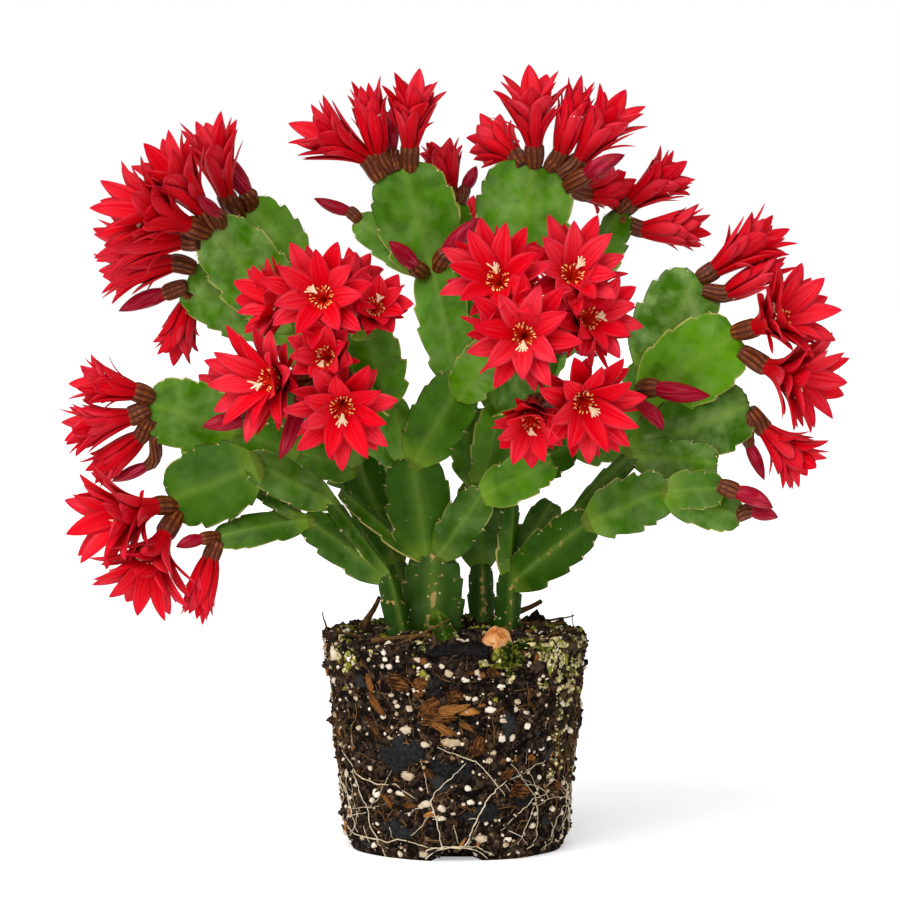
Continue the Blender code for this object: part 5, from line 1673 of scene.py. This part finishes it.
def front_place(x, height, proud):
    """The place on the front of the ball that is seen at x, that far proud of it."""
    if height > BALL_HEIGHT / MM:
        reach = max(0.0, BALL_TOP / MM - (height - BALL_HEIGHT / MM) * 2.5 - 3)
        y = -math.sqrt(max(0.0, reach**2 - x**2))
        return Vector((x * MM, y * MM, ball_top(x * MM, y * MM) + proud))
    reach = BALL_BASE + (BALL_TOP - BALL_BASE) * height * MM / BALL_HEIGHT
    return ball_side(height * MM, -math.acos(max(-1.0, min(1.0, x * MM / reach))), proud)


def laid(rows, seed, sunk=0.25, full=1.15, thick=0.8):
    """Rows for copies: each lump lies flat against the side, sunk by a share of its depth."""
    draw, spots = random.Random(seed), []
    for x, z, wide, tall, *more in rows:
        deep = thick * min(wide, tall) * MM
        spot = front_place(x, z, -deep * sunk)
        lift, tone = more or (math.degrees(draw.uniform(-0.3, 0.3)), draw.random())
        turn = (draw.uniform(-0.15, 0.15), -math.radians(lift), math.atan2(spot.x, -spot.y))
        spots.append((spot, turn, (wide * MM * full, deep, tall * MM * full), tone))
    return spots


def heap(rows, seed, count, least=0.28, most=0.6):
    """Smaller lumps that together fill each lump of the rows."""
    draw, parts = random.Random(seed), []
    for x, z, wide, tall in rows:
        for _ in range(count):
            spot = (x + wide * draw.uniform(-0.8, 0.8), z + tall * draw.uniform(-0.8, 0.8))
            share = draw.uniform(least, most)
            parts.append((*spot, wide * share, max(tall * share, 0.5)))
    return parts


copies("charcoal_lumps", laid(BLACK_LUMPS, 61, 0.45, 1.25, 0.55), COALS, CHARCOAL)
copies("bark_flakes", laid(BARK_FLAKES, 62, -0.2, 1.15, 0.7), FLAKES, CHIP)
copies("white_grains", laid(WHITE_GRAINS, 63), GRAINS, PERLITE)
copies("mossy_lumps", laid(heap(MOSSY_LUMPS, 64, 5), 66), CUSHIONS, MOSS)
copies("crust_lumps", laid(heap(MOSSY_LUMPS, 65, 18, 0.2, 0.42), 68, -0.1), GRAINS, ALGA)
copies("pale_crust", laid(heap(PALE_HEAPS, 69, 9, 0.25, 0.5), 70, -0.1), GRAINS, ALGA)
print("laid by hand:", len((*BLACK_LUMPS, *BARK_FLAKES, *WHITE_GRAINS, *MOSSY_LUMPS)))

# %% [markdown]
# ## Roots and fibres
# Fine pale roots lie against the inside of the pot, so they show on the side of the ball, most
# on its lower half, and branch. Those on the front are laid along the courses seen in the
# photograph. Round the rest of the ball each is a walk over the surface whose direction drifts.
# All are swept with a round outline. Short brown fibres of the peat are made the same way.

# %% Lay the roots of the front
ROOT_COURSES = (
    ((4, 7), (6, 12), (8, 18), (11, 23), (14, 28), (18, 32), (15, 36), (11, 41), (8, 44), (4, 45),
     (0, 47), (-4, 48), (-8, 50)), ((18, 32), (22, 35), (28, 37), (33, 40), (38, 42)),
    ((18, 32), (20, 30), (21, 28)), ((21, 33), (23, 30)),
    ((-4, 2), (-6, 7), (-7, 13), (-9, 21), (-11, 27), (-7, 32), (-2, 37), (4, 43)),
    ((-12, 30), (-13, 36), (-14, 40), (-15, 45)), ((-11, 20), (-15, 15), (-19, 11)),
    ((-14, 24), (-18, 22), (-22, 20)),
    ((-31, 0), (-33, 7), (-36, 13), (-37, 20), (-40, 27), (-42, 33), (-44, 39), (-47, 43), (-51, 47)),
    ((-48, 12), (-47, 10), (-44, 8), (-39, 8), (-34, 8), (-29, 7), (-24, 9), (-17, 8), (-11, 6),
     (-2, 6), (8, 6)), ((-51, 35), (-50, 29), (-47, 25), (-45, 20), (-44, 14), (-43, 9)),
    ((-37, 21), (-33, 26), (-31, 32), (-26, 40)),
    ((-44, 38), (-39, 34), (-33, 32), (-26, 33), (-22, 30), (-17, 27)),
    ((31, 4), (34, 10), (35, 18), (33, 26), (30, 32), (28, 36), (23, 42)),
    ((33, 26), (37, 27), (40, 28)), ((32, 26), (28, 22), (24, 18), (19, 13)),
    ((39, 2), (41, 8), (43, 13), (45, 20), (49, 19), (47, 26), (44, 31), (40, 34)),
    ((5, 7), (7, 10), (10, 19)), ((-1, 16), (0, 12), (1, 8)), ((-27, 14), (-26, 9)),
    ((5, 19), (10, 19)), ((-44, 19), (-40, 21), (-37, 22)), ((-44, 52), (-43, 47)),
    ((38, 31), (41, 32)),
    ((-13, 0.8), (-11, 3.2), (-8, 5.4), (-3, 6.2), (3, 6.2), (8, 5.4), (11, 3.4), (14, 0.8)),
    ((-16, 2), (-12, 5), (-6, 6.6), (2, 6.8), (9, 6.4), (13, 4), (17, 2)),
    ((-40, 12), (-37, 6), (-36, 2)), ((-49, 30), (-46, 26), (-45, 22), (-41, 16)),
    ((-47, 14), (-43, 17), (-38, 19)), ((40, 16), (42, 11), (41, 5), (38, 2)),
    ((47, 30), (48, 22), (46, 14), (44, 8)), ((22, 13), (27, 10), (31, 11)),
)
ROOT_PIECE = 1.6
LONG_ROOT, SHORT_ROOT = 0.3 * MM, 0.18 * MM
ROOT_CLIMB = 1.9


def over_charcoal(x, z):
    """How far the charcoal stands out there, so that a root passes over it."""
    nearest = min(apart(x, z, row) for row in BLACK_LUMPS)
    return ROOT_CLIMB * math.sqrt(max(0.0, 1.2 - nearest)) * MM


def lay_root(paths, course, radius, draw):
    """A root along a course of places on the front, with small kinks between them."""
    run = []
    for (x, z), (next_x, next_z) in zip(course, course[1:]):
        count = max(2, round(math.hypot(next_x - x, next_z - z) / ROOT_PIECE))
        for i in range(count):
            share = i / count
            kink = draw.uniform(-0.3, 0.3)
            here = x + (next_x - x) * share + kink, z + (next_z - z) * share - kink
            run.append(front_place(*here, radius * 0.8 + 0.4 * MM + over_charcoal(*here)))
    run.append(front_place(*course[-1], radius * 0.5))
    wide = [radius * (1.0 - 0.5 * i / len(run)) * draw.uniform(0.7, 1.3) for i in range(len(run))]
    paths.add(run, wide, draw.uniform(0.3, 1.0))


draw = random.Random(67)
roots = Paths()
for course in ROOT_COURSES:
    lay_root(roots, course, LONG_ROOT if len(course) > 5 else SHORT_ROOT, draw)
print("roots laid:", len(ROOT_COURSES))

# %% Walk roots and fibres over the rest
ROOT_STEP = 1.5 * MM


def walk(paths, height, angle, heading, steps, radius, draw, branches=0):
    """One root from a place on the side, with that many levels of branches."""
    run, tone = [], draw.random()
    drift = draw.uniform(-0.02, 0.02)
    for i in range(steps):
        run.append(ball_side(height, angle, radius * 0.8 + 0.3 * MM))
        heading += drift + draw.uniform(-0.16, 0.16)
        if draw.random() < 0.06:
            heading += draw.choice((-0.6, 0.6))
        height += ROOT_STEP * math.sin(heading)
        angle += ROOT_STEP * math.cos(heading) / ball_radius(max(0.0, height), angle)
        if not 5.5 * MM < height < 88 * MM:
            break
        if branches and i > 2 and draw.random() < 0.13:
            side = heading + draw.choice((-1, 1)) * draw.uniform(0.6, 1.0)
            walk(paths, height, angle, side, steps // 2, radius * 0.62, draw, branches - 1)
    if len(run) > 2:
        paths.add(run, [radius * (1.0 - 0.6 * i / len(run)) for i in range(len(run))], 0.3 + 0.7 * tone)


draw = random.Random(71)
for _ in range(30):
    start = draw.uniform(-0.35, math.pi + 0.35)
    walk(roots, draw.uniform(5.6, 12) * MM, start, draw.uniform(1.0, 2.1), draw.randint(12, 34),
         draw.uniform(0.15, 0.28) * MM, draw, 2)
root_net = roots.sweep("roots", ROUND, ROOT)
fibres = Paths()
for _ in range(520):
    walk(fibres, draw.uniform(7, 90) * MM, draw.random() * 6.28, draw.uniform(-3.1, 3.1), draw.randint(3, 8),
         draw.uniform(0.1, 0.22) * MM, draw)
for _ in range(90):
    side = draw.choice((math.pi, 0.0)) + draw.uniform(-0.6, 0.6)
    walk(fibres, draw.uniform(12, 70) * MM, side, draw.uniform(1.3, 1.8), draw.randint(8, 22),
         draw.uniform(0.12, 0.26) * MM, draw)
fibre_net = fibres.sweep("peat_fibres", ROUND, TWIG)
print("roots:", len(root_net.data.polygons), "faces, fibres:", len(fibre_net.data.polygons))

# %% [markdown]
# ## Loose things on the soil
# A sandstone pebble, a cushion of moss, a chip of bark, a charred stick and two dry twigs lie on
# the soil. Each is a solid of its own below, so the fine one keeps its place and its size. The
# lumps are dense spheres dented by two sizes of noise, and the sticks are swept.

# %% Pebble, moss and bark


def fine_lump(name, row, finish, dents, fine, tone, taper=0.0, cuts=0):
    """A dense lump with the slow dents of its solid, and finer dents and flat breaks of its own."""
    middle, halves, turn, roughness = row
    spin, centre = Matrix.Rotation(math.radians(turn), 3, "Z"), place(middle)

    def shaped(way, cut):
        swell = cut + roughness * noise.noise(way * 1.7 + centre * 300)
        swell += dents * (noise.noise(way * fine) + 0.5 * noise.noise(way * fine * 2.7))
        narrow = 1.0 - taper * way.z
        spot = [way[k] * halves[k] * MM * swell * (narrow if k < 2 else 1.0) for k in range(3)]
        return centre + spin @ Vector(spot), way * swell

    mesh = lump_mesh(name, 5, broken_faces(cuts, random.Random(name)), shaped)
    mark(mesh, "tone", [tone] * len(mesh.vertices))
    mesh.materials.append(finish)
    mesh.shade_smooth()
    return in_scene(name, mesh)


fine_lump("sandstone_pebble", STONE, STONE_FACE, 0.05, 3.0, 0.4, 0.3)
fine_lump("moss_cushion", MOSS_CLUMP, MOSS, 0.5, 5.0, 0.1)
chip = fine_lump("bark_flake", BARK_CHIP, CHIP, 0.10, 4.0, 0.1, 0.0, 12)
print("each lump has", len(chip.data.polygons), "faces")

# %% Sticks
STICK_POINTS = 15


def fine_stick(name, row, finish, seed):
    """A knobbly stick, thinner toward its second end."""
    first, last, radius = row
    draw, paths = random.Random(seed), Paths()
    first, last = place(first), place(last)
    across, _, out = frame_along(last - first, UPWARD)
    run, wide = [], []
    for i in range(STICK_POINTS):
        share = i / (STICK_POINTS - 1)
        stray = across * draw.uniform(-1, 1) + out * draw.uniform(-1, 1)
        run.append(first.lerp(last, share) + stray * radius * MM * 0.1)
        wide.append(radius * MM * (1.0 - 0.25 * share) * draw.uniform(0.9, 1.08))
    paths.add(run, wide, 0.5)
    paths.sweep(name, RIDGED, finish)


# Short sticks that only lie or stand in the litter, in the same form as the others
SMALL_STICKS = (
    ((-56, -6, 94), (-58, -8, 103), 0.5), ((-23, -47, 94), (-3, -40, 103), 0.7),
    ((-41, -18, 96), (-33, -14, 110), 1.8), ((22, 22, 98), (38, 27, 104), 1.9),
    ((52, -6, 93), (50, -8, 103), 0.35), ((-14, -48, 95), (-3, -42, 101), 0.6),
    ((12, -38, 96), (24, -30, 100), 0.7), ((38, -34, 95), (50, -20, 97), 0.9),
    ((-40, -36, 95), (-52, -20, 96), 0.8), ((-34, 30, 95), (-20, 44, 100), 1.0),
    ((10, 44, 95), (28, 46, 98), 0.8), ((40, 30, 95), (52, 18, 99), 0.6),
)
draw = random.Random(85)
rim_sticks = Paths()
for first, last, radius in SMALL_STICKS:
    first, last = place(first), place(last)
    shares = [i / 6 for i in range(7)]
    run = [first.lerp(last, share) for share in shares]
    run = [spot + Vector([draw.uniform(-0.3, 0.3) * MM for _ in range(3)]) for spot in run]
    wide = [radius * MM * (1.0 - 0.5 * share) * draw.uniform(0.85, 1.1) for share in shares]
    rim_sticks.add(run, wide, draw.random() * 0.6)
rim_sticks.sweep("rim_sticks", RIDGED, TWIG)
fine_stick("burnt_stick", CHARRED_STICK, BURNT, 81)
fine_stick("dry_twig", LONG_TWIG, TWIG, 82)
fine_stick("dry_twig_back", BACK_TWIG, TWIG, 83)
print("small sticks:", len(SMALL_STICKS))

# %% [markdown]
# ## Joining the pieces to the frame
# Nothing on the plant moves, so every piece rides on the one body. The pads, the petals, the soil
# and the loose things are listed with the solids that they stand for, and those solids are then
# hidden. The helper shapes are removed, because they are no part of the plant.

# %% Ride on the body, and hide the replaced solids
for made in SHAPE_SETS:
    OUTLINES += list(made.objects)
    bpy.data.collections.remove(made)
for thing in OUTLINES:
    bpy.data.objects.remove(thing)
for thing in bpy.context.scene.objects:
    if thing.type == "MESH" and thing.name not in frame["nodes"]:
        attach(thing, "root")
for name, piece in PADS.items():
    if name in STEMS:
        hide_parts(name)
for bunch, piece in petal_pieces.items():
    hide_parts(*solids_of(bunch))
STANDS_FOR = {"soil": "root_ball", "sandstone_pebble": "stone", "moss_cushion": "moss_clump"}
STANDS_FOR |= {"bark_flake": "bark_chip", "burnt_stick": "charred_stick"}
STANDS_FOR |= {"dry_twig": "long_twig", "dry_twig_back": "back_twig"}
for name, node in STANDS_FOR.items():
    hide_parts(node)

# %% [markdown]
# ## Floor, light and camera
# The photograph was taken on a white table in even light. A white world gives the even part, and
# one broad soft light from the upper left of the camera gives the form. It is a sun, so that it
# lights the whole of the table alike. The camera stands two metres away, a little above the
# flowers and tilted down, with a long lens, and was placed by matching the root ball's rim and
# foot.

# %% Floor
FLOOR_HALF = 6
# The table glows a little, like a lit one in a studio, so that shadows on it stay pale
glow = {"Base Color": linear("FBFBFA"), "Emission Strength": 0.38}
white, _, _ = start_material("White lit table", 0.6, 0.5, glow)
corners = [(FLOOR_HALF * x, FLOOR_HALF * y, 0) for x, y in ((-1, -1), (1, -1), (1, 1), (-1, 1))]
floor = mesh_object("floor", corners, [(0, 1, 2, 3)], white, smooth=False)
print("floor is", 2 * FLOOR_HALF, "m wide")

# %% Light
AMBIENT = 0.48
SUN_FROM, SUN_WIDTH, SUN_POWER = (-0.55, -1.0, 1.0), 56, 2.6
world = bpy.data.worlds.new("White room")
bpy.context.scene.world = world
world.use_nodes = True
room = world.node_tree
# The camera sees plain white, and the plant gets the weaker even light
seen = add(room, "LightPath", out="Is Camera Ray")
even = add(room, "MapRange", {"Value": seen, "To Min": AMBIENT})
wire(room.nodes["Background"], {"Color": (1.0, 1.0, 1.0, 1.0), "Strength": even})
sun = bpy.data.lights.new("soft_sun", "SUN")
sun.energy, sun.angle = SUN_POWER, math.radians(SUN_WIDTH)
lamp = bpy.data.objects.new("soft_sun", sun)
lamp.location = SUN_FROM
lamp.rotation_euler = Vector(SUN_FROM).to_track_quat("Z", "Y").to_euler()
bpy.context.scene.collection.objects.link(lamp)
bpy.context.scene.view_settings.view_transform = "Standard"
print("even light:", AMBIENT, "sun:", SUN_POWER)

# %% Camera
SENSOR = 36.0
FOCAL_PIXELS = 4577.0
FRAME_PIXELS = 900.0
CAMERA_AT, CAMERA_TILT = (-0.0026, -1.985, 0.309), 3.92
eye = bpy.data.cameras.new("camera")
eye.sensor_width = SENSOR
eye.lens = FOCAL_PIXELS / FRAME_PIXELS * SENSOR
camera = bpy.data.objects.new("camera", eye)
camera.location = CAMERA_AT
camera.rotation_euler = (math.radians(90 - CAMERA_TILT), 0, 0)
bpy.context.scene.collection.objects.link(camera)
bpy.context.scene.camera = camera
print("lens:", round(eye.lens), "mm")
